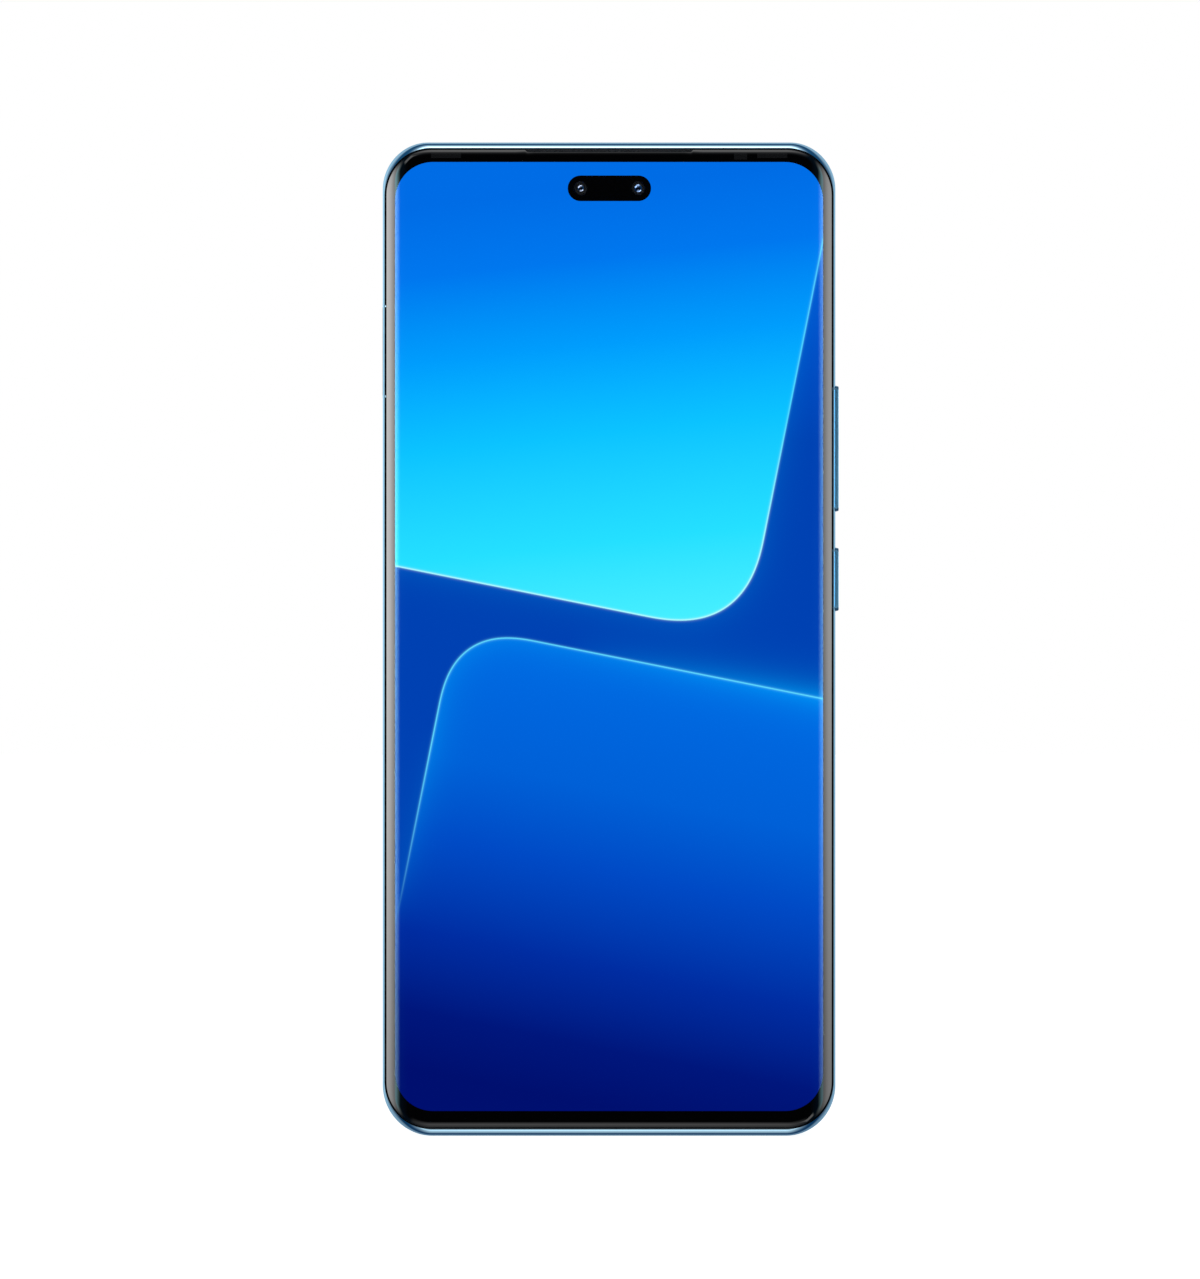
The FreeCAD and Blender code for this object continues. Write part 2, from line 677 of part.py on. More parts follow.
def usb_form(inset, z_span):
    half_height = USB_SHELL_HALF_HEIGHT - inset
    half_width = USB_SHELL_HALF_WIDTH - inset
    return bar_along_z(span(0, half_width), span(0, half_height), z_span, half_height - 0.001)


def usb_shell():
    mouth, back = USB_MOUTH, USB_MOUTH + USB_DEPTH
    shell = usb_form(0, (mouth, back)).cut(usb_form(USB_WALL, (mouth - 1, back - 0.3)))
    pegs = []
    for sign in (-1, 1):
        pegs.append(box(span(sign * (USB_SHELL_HALF_WIDTH + 0.5), 0.6), (-0.2, 0.05), (4.5, 6.5)))
    return join([shell] + pegs)


def usb_tongue():
    """Insulating tongue with its thicker foot, filling the back of the shell."""
    back = USB_MOUTH + USB_DEPTH - 0.3
    tongue = box(span(0, TONGUE_HALF_WIDTH), span(0, TONGUE_HALF_THICKNESS), (TONGUE_START, back))
    foot = usb_form(USB_WALL, (back - 1.5, back))
    return join([tongue, foot])


def usb_seal():
    """Flexible ring between the port's shell and the frame."""
    ring = usb_form(0.01 - USB_OPENING_GAP, (1.0, 1.7))
    return ring.cut(usb_form(0, (0, 3)))


LOUDSPEAKER_SPANS = ((9.4, 32.4), (2.9, 26.6))
LOUDSPEAKER_Y = (-1.5, 2.5)
LOUDSPEAKER_ROOM = ((12.6, 28.4), (7.6, 21.4))


def loudspeaker_box():
    """Sealed box with a driver room and a duct that ends at the frame's holes."""
    case = slab(*LOUDSPEAKER_SPANS, LOUDSPEAKER_Y, 3.6)
    (x_low, x_high), (z_low, z_high) = LOUDSPEAKER_ROOM
    room = slab((x_low, x_high), (z_low, z_high), (LOUDSPEAKER_Y[0] + 0.5, LOUDSPEAKER_Y[1] - 0.5), 2.5)
    duct = box((12, 26), (-0.7, 0.7), (0, z_low + 1))
    case = cut_all(case, [room, duct])
    case = cut_all(case, boss_clearances(LOUDSPEAKER_SCREWS, (-3, COVER_FRONT)))
    seats = [disc(place, SCREW_HEAD_RADIUS + 0.2, (COVER_BACK, 4)) for place in LOUDSPEAKER_SCREWS]
    holes = [disc(place, SCREW_RADIUS + SCREW_FIT, (-3, 4)) for place in LOUDSPEAKER_SCREWS]
    return cut_all(case, seats + holes)


def loudspeaker_mesh():
    """Fine mesh strip behind the loudspeaker holes."""
    return bar_along_z((11.2, 26.8), span(0, 1.0), (CAVITY_BOTTOM, CAVITY_BOTTOM + 0.15), 0.9)


def bottom_cover():
    return plate_cover((-18.6, 8.6), (3.6, 26.2), BOTTOM_COVER_SCREWS, 1.0)


def motor_spans():
    return list(zip(MOTOR_LOW, MOTOR_HIGH))


def vibration_case():
    x_span, y_span, z_span = motor_spans()
    case = slab(x_span, z_span, y_span, 0.8)
    room_x, room_y, room_z = [shrunk(limits, MOTOR_WALL) for limits in (x_span, y_span, z_span)]
    return case.cut(slab(room_x, room_z, room_y, 0.5))


def vibration_mass():
    x_span, y_span, z_span = motor_spans()
    side = MOTOR_WALL + MASS_MARGIN_SIDE
    return slab(shrunk(x_span, side), shrunk(z_span, MASS_MARGIN_END), shrunk(y_span, side), 1.0)


def vibration_spring(end):
    """V-shaped leaf between the case's end wall and the mass; end -1 is the lower one."""
    x_span, y_span, z_span = motor_spans()
    wall_z = (z_span[0] + MOTOR_WALL) if end < 0 else (z_span[1] - MOTOR_WALL)
    mass_z = (z_span[0] + MASS_MARGIN_END) if end < 0 else (z_span[1] - MASS_MARGIN_END)
    left, right = x_span[0] + 1.0, x_span[1] - 1.0
    leaf = 0.2
    low_z, high_z = min(wall_z, mass_z), max(wall_z, mass_z)
    y_low = y_span[0] + 0.9
    corners = [(left, low_z), (left, low_z + leaf), (right - 1.6, high_z - leaf), (right - 1.6, high_z),
               (right, high_z), (right, high_z - leaf), (left + 1.6, low_z + leaf), (left + 1.6, low_z)]
    points = [point(x, y_low, z) for x, z in corners]
    return Part.Face(Part.makePolygon(points + [points[0]])).extrude(point(0, 1.2, 0))


def microphones():
    bottom = box(span(BOTTOM_MICROPHONE_X, 1.6), (BOARD_BACK, 0.5), (CAVITY_BOTTOM + 0.4, 5.0))
    top = box(span(TOP_MICROPHONE_X, 1.4), (-0.6, 0.6), (CAVITY_TOP - 1.1, CAVITY_TOP))
    return group([bottom, top])


def infrared_emitter():
    window = rod_along_z(INFRARED_X, 0, INFRARED_RADIUS - 0.03, (CAVITY_TOP - 0.2, LENGTH - 0.15))
    body = box(span(INFRARED_X, 1.2), span(0, 1.0), (CAVITY_TOP - 2.0, CAVITY_TOP - 0.1))
    return join([window, body])


# ---- SIM tray ---------------------------------------------------------------------------------

TRAY_TAIL_X = -HALF_WIDTH + TRAY_LENGTH
TRAY_PLATE_Z = (TRAY_BOTTOM + 0.9, TRAY_TOP - 3.4)
CARD_X = (TRAY_TAIL_X - 1.2 - CARD_LENGTH, TRAY_TAIL_X - 1.2)
CARD_Z = span((TRAY_PLATE_Z[0] + TRAY_PLATE_Z[1]) / 2, CARD_WIDTH / 2)


def sim_tray():
    """Face plate flush with the side, and a thin plate with the card's recess."""
    face = bar_along_x(span(0, TRAY_HALF_HEIGHT), (TRAY_BOTTOM, TRAY_TOP),
                       (-HALF_WIDTH, -HALF_WIDTH + TRAY_FACE_DEPTH), TRAY_HALF_HEIGHT - 0.001)
    face_back = -HALF_WIDTH + TRAY_FACE_DEPTH
    plate_x = (face_back - 0.2, TRAY_TAIL_X)
    plate = slab(plate_x, TRAY_PLATE_Z, span(0, TRAY_PLATE_HALF_THICKNESS), 0.6)
    recess_floor = -TRAY_PLATE_HALF_THICKNESS + 0.15
    recess = slab(shrunk(CARD_X, -0.05), shrunk(CARD_Z, -0.05), (recess_floor, 3), 0.6)
    pin_hole = rod_along_x(0, EJECT_HOLE_Z, EJECT_RADIUS, (-HALF_WIDTH - 1, face_back + 1))
    return cut_all(join([face, plate]), [recess, pin_hole])


def sim_tray_seal():
    """Flexible ring round the tray just behind its face."""
    z_span = (TRAY_PLATE_Z[0] - 0.25, TRAY_PLATE_Z[1] + 0.25)
    low_x = -HALF_WIDTH + TRAY_FACE_DEPTH
    ring = bar_along_x(span(0, TRAY_PLATE_HALF_THICKNESS + 0.25), z_span, (low_x, low_x + 0.5), 0.3)
    return ring.cut(box((-FAR, 0), span(0, TRAY_PLATE_HALF_THICKNESS), TRAY_PLATE_Z))


READER_X = (-32.9, -15.4)
READER_Z = (TRAY_PLATE_Z[0] - 0.6, TRAY_TOP + 0.9)
ROD_X = (-34.6, -18.15)
LEVER_PIVOT = (-17.6, EJECT_HOLE_Z - 2.0)
LEVER_ARM = 2.0


def sim_reader():
    """Sleeve on the board that guides the tray and the eject rod."""
    y_low, y_high = BOARD_BACK, 0.95
    shell = box(READER_X, (y_low, y_high), READER_Z)
    room = box((READER_X[0] - 1, READER_X[1] - READER_WALL), (y_low + 0.2, y_high - READER_WALL),
               (READER_Z[0] + READER_WALL, READER_Z[1] - READER_WALL))
    pivot = disc(LEVER_PIVOT, 0.4, (y_low + 0.1, y_high - 0.1))
    return join([shell.cut(room), pivot])


def sim_eject_rod():
    """Rod that the eject pin pushes; its inner end meets the lever."""
    return rod_along_x(0, EJECT_HOLE_Z, ROD_RADIUS, ROD_X)


def sim_eject_lever():
    """Rocking lever: one end faces the rod, the other faces the tail of the tray."""
    x, z = LEVER_PIVOT
    y_span = span(0, 0.3)
    hub = disc(LEVER_PIVOT, 0.85, y_span)
    arm = slab(span(x, 0.35), (z - LEVER_ARM, z + LEVER_ARM), y_span, 0.3)
    return join([hub, arm]).cut(disc(LEVER_PIVOT, 0.45, (-2, 2)))


# ---- Side keys --------------------------------------------------------------------------------

def side_key(z_low, z_high, nub_places):
    """Key cap, its retaining flange, and one nub over each switch."""
    cap = bar_along_x(span(0, KEY_HALF_HEIGHT), (z_low, z_high),
                      (KEY_FLANGE_OUTER - 0.1, HALF_WIDTH + KEY_PROUD), KEY_HALF_HEIGHT - 0.001)
    outer = [edge for edge in cap.Edges if edge.BoundBox.XMin > HALF_WIDTH + KEY_PROUD - 1e-6]
    cap = cap.makeFillet(0.3, outer)
    overhang = KEY_FLANGE_OVERHANG
    flange = box((KEY_FLANGE_INNER, KEY_FLANGE_OUTER), span(0, KEY_FLANGE_HALF_HEIGHT),
                 (z_low - overhang, z_high + overhang))
    nubs = [box((KEY_FLANGE_INNER - 0.15, KEY_FLANGE_INNER + 0.1), span(0, 0.6), span(z, NUB_HALF_LENGTH))
            for z in nub_places]
    return join([cap, flange] + nubs)


def power_middle():
    return (POWER_BOTTOM + POWER_TOP) / 2


def volume_middle():
    return (VOLUME_BOTTOM + VOLUME_TOP) / 2


def volume_press_places():
    return [volume_middle() + sign * VOLUME_PRESS_OFFSET for sign in (-1, 1)]


DOME_OUTER_X = KEY_FLANGE_INNER - 0.15 - KEY_TRAVEL - 0.03
DOME_INNER_X = DOME_OUTER_X - DOME_THICKNESS
KEY_FLEX_INNER_X = 33.0


def key_domes():
    places = [power_middle()] + volume_press_places()
    return group([box((DOME_INNER_X, DOME_OUTER_X), span(0, 1.0), span(z, 1.4)) for z in places])


def key_flex():
    """Ribbon behind the switches, stiffened over its length, with a tail into the phone."""
    strip_z = shrunk((KEY_STRIP_BOTTOM, KEY_STRIP_TOP), 0.4)
    strip = box((KEY_FLEX_INNER_X, DOME_INNER_X), span(0, 1.15), strip_z)
    tail = box((28.0, DOME_INNER_X), (1.03, 1.15), (strip_z[1] - 3.6, strip_z[1]))
    return join([strip, tail])


# ---- Back -------------------------------------------------------------------------------------

ISLAND_Y = (HALF_THICKNESS, HALF_THICKNESS + ISLAND_PROUD)
LENSES = [(MAIN_LENS, BIG_RING_RADIUS), (WIDE_LENS, BIG_RING_RADIUS), (MACRO_LENS, SMALL_RING_RADIUS)]


def lens_holes(shrink):
    holes = [disc(place, radius - shrink, (0, FAR)) for place, radius in LENSES]
    return holes + [disc(FLASH, FLASH_RADIUS, (0, FAR))]


def back_cover():
    return cut_all(cover_glass(1), lens_holes(0))


def back_adhesive():
    """Bead between the glass back and the frame's ledge."""
    z_span = shrunk((CAVITY_BOTTOM, CAVITY_TOP), -0.2)
    inner = slab(span(0, CAVITY_HALF_WIDTH + 0.2), z_span, (0, FAR / 2), CAVITY_CORNER_RADIUS)
    return adhesive_layer(1).cut(inner)


def camera_island():
    """Raised plate on the back glass, with a rounded rim and a seat for each ring."""
    plate = slab((ISLAND_LEFT, ISLAND_RIGHT), (ISLAND_BOTTOM, ISLAND_TOP), ISLAND_Y, ISLAND_CORNER_RADIUS)
    rim = [edge for edge in plate.Edges if edge.BoundBox.YMin > ISLAND_Y[1] - 1e-6]
    return cut_all(plate.makeFillet(0.6, rim), lens_holes(0))


def camera_rings():
    """Metal ring round each lens window, standing just proud of the island."""
    rings = []
    for place, radius in LENSES:
        ring = disc(place, radius - 0.02, (HALF_THICKNESS - GLASS_THICKNESS, ISLAND_Y[1] + RING_PROUD))
        outer = [edge for edge in ring.Edges if edge.BoundBox.YMin > ISLAND_Y[1] + RING_PROUD - 1e-6]
        rings.append(ring.makeChamfer(0.25, outer).cut(disc(place, radius - RING_WIDTH, (0, FAR))))
    return group(rings)


def window_back():
    return ISLAND_Y[1] + RING_PROUD - 0.3


def camera_windows():
    return group([disc(place, radius - RING_WIDTH, (window_back() - WINDOW_THICKNESS, window_back()))
                  for place, radius in LENSES])


def flash_lens():
    return disc(FLASH, FLASH_RADIUS - 0.03, (HALF_THICKNESS - GLASS_THICKNESS, ISLAND_Y[1] + 0.05))


def flash_led():
    return slab(*around(FLASH, 1.5), (COVER_BACK, COVER_BACK + 0.5), 0.2)


CAMERA_BODY_BACK = 3.0


def camera_module(place, half, front, barrel_radius):
    """Square module body with its fixed lens barrel pointing back."""
    body = slab(*around(place, half), (front, CAMERA_BODY_BACK), 0.6)
    barrel = disc(place, barrel_radius, (CAMERA_BODY_BACK - 0.1, window_back() - WINDOW_THICKNESS - 0.1))
    bowl = disc(place, barrel_radius * 0.45, (window_back() - WINDOW_THICKNESS - 0.6, FAR))
    return join([body, barrel]).cut(bowl)


def main_camera():
    """Autofocus housing: a square body with a round room for the moving lens."""
    body = slab(*around(MAIN_LENS, 5.6), (-1.4, CAMERA_BODY_BACK), 0.6)
    return body.cut(disc(MAIN_LENS, BARREL_RADIUS + BARREL_GAP, (0.2, FAR)))


def main_camera_lens():
    """Lens barrel that the autofocus moves along its axis, with a hollow at the front."""
    top = window_back() - WINDOW_THICKNESS - FOCUS_TRAVEL - 0.12
    barrel = disc(MAIN_LENS, BARREL_RADIUS, (0.35, top))
    return barrel.cut(disc(MAIN_LENS, BARREL_RADIUS * 0.5, (top - 0.8, FAR)))


def camera_bracket():
    """Thin plate that holds the camera modules down."""
    plate = plate_cover((7.6, 32.4), (115.4, 155.4), CAMERA_BRACKET_SCREWS, 3.0)
    holes = [slab(*around(place, half + 0.15), (0, 4), 0.6) for place, half in
             ((MAIN_LENS, 5.6), (WIDE_LENS, 4.8), (MACRO_LENS, 2.9))]
    return cut_all(plate, holes)


# ---- All nodes --------------------------------------------------------------------------------

def build_all():
    left_camera, right_camera = front_camera_places()
    nodes = {
        "mid_frame": mid_frame(),
        "front_glass": front_glass(),
        "display_panel": display_panel(),
        "display_adhesive": display_adhesive(),
        "display_flex": display_flex(),
        "graphite_sheet": graphite_sheet(),
        "fingerprint_sensor": fingerprint_sensor(),
        "proximity_sensor": window_sensor(PROXIMITY_WINDOW, 0.6),
        "ambient_sensor": window_sensor(AMBIENT_WINDOW, 0.6),
        "front_camera_left": front_camera(left_camera),
        "front_camera_right": front_camera(right_camera),
        "earpiece_mesh": earpiece_mesh(),
        "earpiece_case": earpiece_case(),
        "earpiece_diaphragm": diaphragm(EARPIECE_SPANS, 0.7, (0.1, 0.3), 0.9),
        "battery": battery(),
        "battery_adhesive": battery_adhesive(),
        "battery_flex": battery_flex(),
        "main_board": main_board(),
        "processor_shield": shield(*PROCESSOR_SPANS, PROCESSOR_SHIELD_HEIGHT),
        "radio_shield": shield(*RADIO_SPANS, 1.7),
        "shield_pad": shield_pad(),
        "main_board_cover": plate_cover((-32.6, 7.2), (115.6, 155.6), MAIN_COVER_SCREWS, 3.0),
        "nfc_coil": nfc_coil(),
        "sub_board": sub_board(),
        "main_flex": main_flex(),
        "frame_screws": frame_screws(),
        "usb_shell": usb_shell(),
        "usb_tongue": usb_tongue(),
        "usb_seal": usb_seal(),
        "loudspeaker_box": loudspeaker_box(),
        "loudspeaker_diaphragm": diaphragm(LOUDSPEAKER_ROOM, 0.4, (0.9, 1.2), 2.0),
        "loudspeaker_mesh": loudspeaker_mesh(),
        "bottom_cover": bottom_cover(),
        "vibration_case": vibration_case(),
        "vibration_mass": vibration_mass(),
        "vibration_spring_lower": vibration_spring(-1),
        "vibration_spring_upper": vibration_spring(1),
        "microphones": microphones(),
        "infrared_emitter": infrared_emitter(),
        "sim_tray": sim_tray(),
        "sim_tray_seal": sim_tray_seal(),
        "sim_reader": sim_reader(),
        "sim_eject_rod": sim_eject_rod(),
        "sim_eject_lever": sim_eject_lever(),
        "power_button": side_key(POWER_BOTTOM, POWER_TOP, [power_middle()]),
        "volume_rocker": side_key(VOLUME_BOTTOM, VOLUME_TOP, volume_press_places()),
        "key_domes": key_domes(),
        "key_flex": key_flex(),
        "back_cover": back_cover(),
        "back_adhesive": back_adhesive(),
        "camera_island": camera_island(),
        "camera_rings": camera_rings(),
        "camera_windows": camera_windows(),
        "flash_lens": flash_lens(),
        "flash_led": flash_led(),
        "main_camera": main_camera(),
        "main_camera_lens": main_camera_lens(),
        "wide_camera": camera_module(WIDE_LENS, 4.8, -0.9, 3.6),
        "macro_camera": camera_module(MACRO_LENS, 2.9, -0.4, 1.5),
        "camera_bracket": camera_bracket(),
    }
    for node, shape in nodes.items():
        save(node, shape)


build_all()
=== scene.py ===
import json
import math

import bmesh
import bpy
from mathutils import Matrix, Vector


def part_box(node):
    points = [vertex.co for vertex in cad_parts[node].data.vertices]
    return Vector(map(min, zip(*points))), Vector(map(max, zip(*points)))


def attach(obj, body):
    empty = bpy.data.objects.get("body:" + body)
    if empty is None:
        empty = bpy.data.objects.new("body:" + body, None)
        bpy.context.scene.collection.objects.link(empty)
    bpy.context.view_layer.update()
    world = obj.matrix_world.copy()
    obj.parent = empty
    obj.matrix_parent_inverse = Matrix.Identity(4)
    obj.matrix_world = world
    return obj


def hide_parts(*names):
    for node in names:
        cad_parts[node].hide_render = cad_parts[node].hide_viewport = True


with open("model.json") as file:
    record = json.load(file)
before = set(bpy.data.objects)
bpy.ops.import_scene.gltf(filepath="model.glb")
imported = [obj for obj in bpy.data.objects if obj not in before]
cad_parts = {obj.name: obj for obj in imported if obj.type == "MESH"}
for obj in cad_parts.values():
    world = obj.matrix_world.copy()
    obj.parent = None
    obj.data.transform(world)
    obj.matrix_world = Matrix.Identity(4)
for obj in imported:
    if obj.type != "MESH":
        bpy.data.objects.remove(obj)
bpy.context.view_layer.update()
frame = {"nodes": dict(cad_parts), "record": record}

# Looks of a smartphone that stands on its bottom edge with the screen towards -Y.
# Shapes are written in millimetres and turned into metres when a mesh is made.

MM = 0.001


def box_mm(node):
    low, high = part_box(node)
    return low / MM, high / MM


# ---- Sizes read from the frame ----------------------------------------------------------------

frame_high = box_mm("mid_frame")[1]
glass_low, glass_high = box_mm("front_glass")
display_low, display_high = box_mm("display_panel")
island_low, island_high = box_mm("camera_island")
rings_high = box_mm("camera_rings")[1]

HALF_WIDTH = frame_high.x
LENGTH = frame_high.z
HALF_THICKNESS = -glass_low.y

# ---- Shape values -----------------------------------------------------------------------------

# Section of both glasses across their width: a flat, a gentle arc and a tighter arc.
FLAT_HALF_WIDTH = 31.5
GENTLE_RADIUS = 7.24
TIGHT_RADIUS = 4.06
GENTLE_ANGLE = math.radians(30)
TIGHT_X = FLAT_HALF_WIDTH + (GENTLE_RADIUS - TIGHT_RADIUS) * math.sin(GENTLE_ANGLE)
TIGHT_Y = HALF_THICKNESS - GENTLE_RADIUS + (GENTLE_RADIUS - TIGHT_RADIUS) * math.cos(GENTLE_ANGLE)

# Outlines of the frame and the glass; the band of metal between them is an arc that stands on a
# straight wall, low on the long sides and high at the ends.
TOP_CORNER_RADIUS = 7.4
BOTTOM_CORNER_RADIUS = 8.0
GLASS_CORNER_RADIUS = 7.3
WALL_HALF_HEIGHT_SIDE = 0.35
WALL_HALF_HEIGHT_END = 2.2
CORNER_STEPS = 40
ARC_STEPS = 16
WALL_RISE_POWER = 1.3
SEAT_SIDE = 1.25
SEAT_END = 0.62
WALL_SIDE = 3.0
WALL_END = 2.1
SLIVER = 0.001

# Glass.
GLASS_GAP = 0.27
GLASS_RIM_DROP = 0.15
GLASS_RIM_WIDTH = 0.85
GLASS_CHAMFER = 0.05
GLASS_STEP = 0.05
GLASS_STEP_GROWTH = 1.2
INK_DEPTH = 0.46
DISPLAY_DEPTH = 0.55
DISPLAY_THICKNESS = 0.5
NOTCH_HALF_LENGTH = 13.45
NOTCH_DEPTH = 0.36
DISPLAY_CORNER_RADIUS = 6.1

# Side keys: a flange inside the frame and a cap that stands out of its slot.
KEY_HALF_HEIGHT = 0.8
KEY_MARGIN = 0.43
KEY_FLANGE_DEPTH = 0.5
KEY_FLANGE_LIP = 0.4
KEY_EDGE = 0.12
KEY_EDGE_STEPS = 5
KEY_FOOT = 0.06
KEY_SLANT = 0.095
KEY_GAP = 0.06
TRAY_GAP = 0.06

# Openings in the frame: X spans that cross its long walls, and round holes in its ends.
RIGHT_WALL = (30.0, 40.0)
LEFT_WALL = (-40.0, -30.0)
OPENING_DEPTH = 4.0
OPENING_OVERSHOOT = 1.0
PORT_HALF_SIZE = (4.59, 1.70)
MICROPHONE_RADIUS = 0.4
LOW_MICROPHONE_X = -11.0
HIGH_MICROPHONE_X = 6.0
INFRARED_RADIUS = 0.8
INFRARED_X = 15.0
SPEAKER_HOLE_RADIUS = 0.65
SPEAKER_HOLES = [12.5 + 2.6 * index for index in range(6)]

# Pill hole and what lies under the top border.
PILL_CENTRE = (0.05, LENGTH - 7.41)
PILL_SIZE = (13.34, 4.1)
FRONT_LENS_OFFSET = 4.6
FRONT_LENS_RISE = 0.14
INK_Y = -(HALF_THICKNESS - INK_DEPTH)
PILL_Y = (INK_Y - 0.02, INK_Y + 0.04)

# Back cameras and flash: ring sizes, windows, and places as (x, z).
BIG_RING = 6.8
SMALL_RING = 2.9
RING_WIDTH = 0.9
RING_CLEARANCE = 0.02
WINDOW_SINK = 0.3
WINDOW_THICKNESS = 0.5
WINDOW_CLEARANCE = 0.06
MAIN_LENS = (21.4, 143.1)
WIDE_LENS = (21.4, 125.1)
MACRO_LENS = (11.3, 141.0)
FLASH = (11.3, 129.0)
FLASH_RADIUS = 2.3
FLASH_BEVEL = 0.15
FLASH_GROOVE_WIDTH = 0.22
FLASH_CORE_RADIUS = 1.3
ISLAND_CORNER_RADIUS = 6.5
ISLAND_EDGE = 0.6
ISLAND_EDGE_STEPS = 12
ISLAND_FOOT_STEP = 0.1
BACK_LENS_SEGMENTS = 128

# Camera: long lens, straight at the screen.
FRAME_HEIGHT = 204.7
CAMERA_LENS = 160.0
SENSOR = 36.0
CAMERA_X = -1.455
CAMERA_Z = 79.54


# ---- Mesh helpers -----------------------------------------------------------------------------

def make_object(name, points, faces, materials, face_materials=None):
    """Mesh object from points in millimetres; rides nothing yet."""
    mesh = bpy.data.meshes.new(name)
    mesh.from_pydata([Vector(p) * MM for p in points], [], faces)
    for material in materials:
        mesh.materials.append(material)
    if face_materials:
        mesh.polygons.foreach_set("material_index", face_materials)
    obj = bpy.data.objects.new(name, mesh)
    bpy.context.scene.collection.objects.link(obj)
    tidy_normals(mesh)
    return obj


def tidy_normals(mesh, sharp_degrees=35):
    """Faces outwards, smooth shading, and edges sharper than the limit kept crisp."""
    work = bmesh.new()
    work.from_mesh(mesh)
    bmesh.ops.recalc_face_normals(work, faces=work.faces)
    limit = math.radians(sharp_degrees)
    for edge in work.edges:
        edge.smooth = len(edge.link_faces) == 2 and edge.calc_face_angle(0) < limit
    for face in work.faces:
        face.smooth = True
    work.to_mesh(mesh)
    work.free()


def bridge(rings, closed=False):
    """Quads between rings of equal length; closed also joins the last ring to the first."""
    count = len(rings[0])
    points = [p for ring in rings for p in ring]
    faces = []
    pairs = len(rings) if closed else len(rings) - 1
    for index in range(pairs):
        here, there = index * count, ((index + 1) % len(rings)) * count
        for step in range(count):
            following = (step + 1) % count
            faces.append((here + step, here + following, there + following, there + step))
    return points, faces


def capped(name, rings, materials, kinds=None):
    """Piece through rings of equal length, closed at both ends.
    Kinds gives one material index for each band between rings; each end takes that of its band."""
    points, faces = bridge(rings)
    count = len(rings[0])
    faces.append(tuple(range(count)))
    faces.append(tuple(range(len(points) - count, len(points))))
    face_kinds = None
    if kinds:
        face_kinds = [kind for kind in kinds for _ in range(count)] + [kinds[0], kinds[-1]]
    return make_object(name, points, faces, materials, face_kinds)


def finished(obj, body, slot, *nodes):
    """Attaches a piece to its body and hides the plain solids that it stands for; the finish given is not
    used.
    """
    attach(obj, body)
    if nodes:
        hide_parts(*nodes)
    return obj


def subtract(obj, cutters):
    """Cuts solids out of a piece and removes the cutters."""
    for cutter in cutters:
        modifier = obj.modifiers.new("cut", "BOOLEAN")
        modifier.operation = "DIFFERENCE"
        modifier.solver = "EXACT"
        modifier.object = cutter
    apply_modifiers(obj)
    for cutter in cutters:
        bpy.data.objects.remove(cutter)
    tidy_normals(obj.data)


def apply_modifiers(obj):
    depsgraph = bpy.context.evaluated_depsgraph_get()
    mesh = bpy.data.meshes.new_from_object(obj.evaluated_get(depsgraph))
    obj.modifiers.clear()
    obj.data = mesh


# ---- Outlines and sections --------------------------------------------------------------------

def lerp(a, b, share):
    return a + (b - a) * share


def smooth_step(share):
    share = min(max(share, 0.0), 1.0)
    return share * share * (3 - 2 * share)


def section_height(x, inset=0.0):
    """Height of the curved section above the middle plane, its surface moved inwards by inset."""
    x = abs(x)
    gentle = GENTLE_RADIUS - inset
    tight = TIGHT_RADIUS - inset
    if x <= FLAT_HALF_WIDTH:
        return HALF_THICKNESS - inset
    if x <= FLAT_HALF_WIDTH + gentle * math.sin(GENTLE_ANGLE):
        return HALF_THICKNESS - GENTLE_RADIUS + math.sqrt(gentle ** 2 - (x - FLAT_HALF_WIDTH) ** 2)
    return TIGHT_Y + math.sqrt(max(tight ** 2 - (x - TIGHT_X) ** 2, 0.0))


NOTCH_STOPS = [sign * x for sign in (-1, 1) for x in (NOTCH_HALF_LENGTH, NOTCH_HALF_LENGTH - NOTCH_DEPTH)]
RUN_STOPS = NOTCH_STOPS + [3.0 * index for index in range(-8, 9)]
SIDE_STOPS = [12.0 + 4.5 * index for index in range(30)]


def outline(half_width, low, high, radius_low, radius_high, centre_x=0.0, run_stops=(), side_stops=(),
            steps=CORNER_STEPS):
    """Points round a rounded rectangle as (x, z, outward x, outward z), from the lower right corner up.
    The stops are extra X positions on the top and bottom runs and extra Z positions on the sides."""
    corners = [
        (1, radius_low, low + radius_low, -90),
        (1, radius_high, high - radius_high, 0),
        (-1, radius_high, high - radius_high, 90),
        (-1, radius_low, low + radius_low, 180),
    ]
    runs = [
        [(half_width, z, 1.0, 0.0) for z in sorted(side_stops)],
        [(x, high, 0.0, 1.0) for x in sorted(run_stops, reverse=True)],
        [(-half_width, z, -1.0, 0.0) for z in sorted(side_stops, reverse=True)],
        [(x, low, 0.0, -1.0) for x in sorted(run_stops)],
    ]
    points = []
    for (side, radius, centre_z, start), run in zip(corners, runs):
        centre = side * (half_width - radius)
        for step in range(steps + 1):
            turn = math.radians(start + 90 * step / steps)
            out_x, out_z = math.cos(turn), math.sin(turn)
            points.append((centre + radius * out_x, centre_z + radius * out_z, out_x, out_z))
        points += run
    return [(centre_x + x, z, out_x, out_z) for x, z, out_x, out_z in points]


def endness(out_x, out_z):
    """0 on the long sides, 1 on the two ends, and smooth round the corners."""
    return smooth_step(math.degrees(math.atan2(abs(out_z), abs(out_x))) / 90)


def body_outline():
    return outline(HALF_WIDTH, 0.0, LENGTH, BOTTOM_CORNER_RADIUS, TOP_CORNER_RADIUS,
                   run_stops=RUN_STOPS, side_stops=SIDE_STOPS)


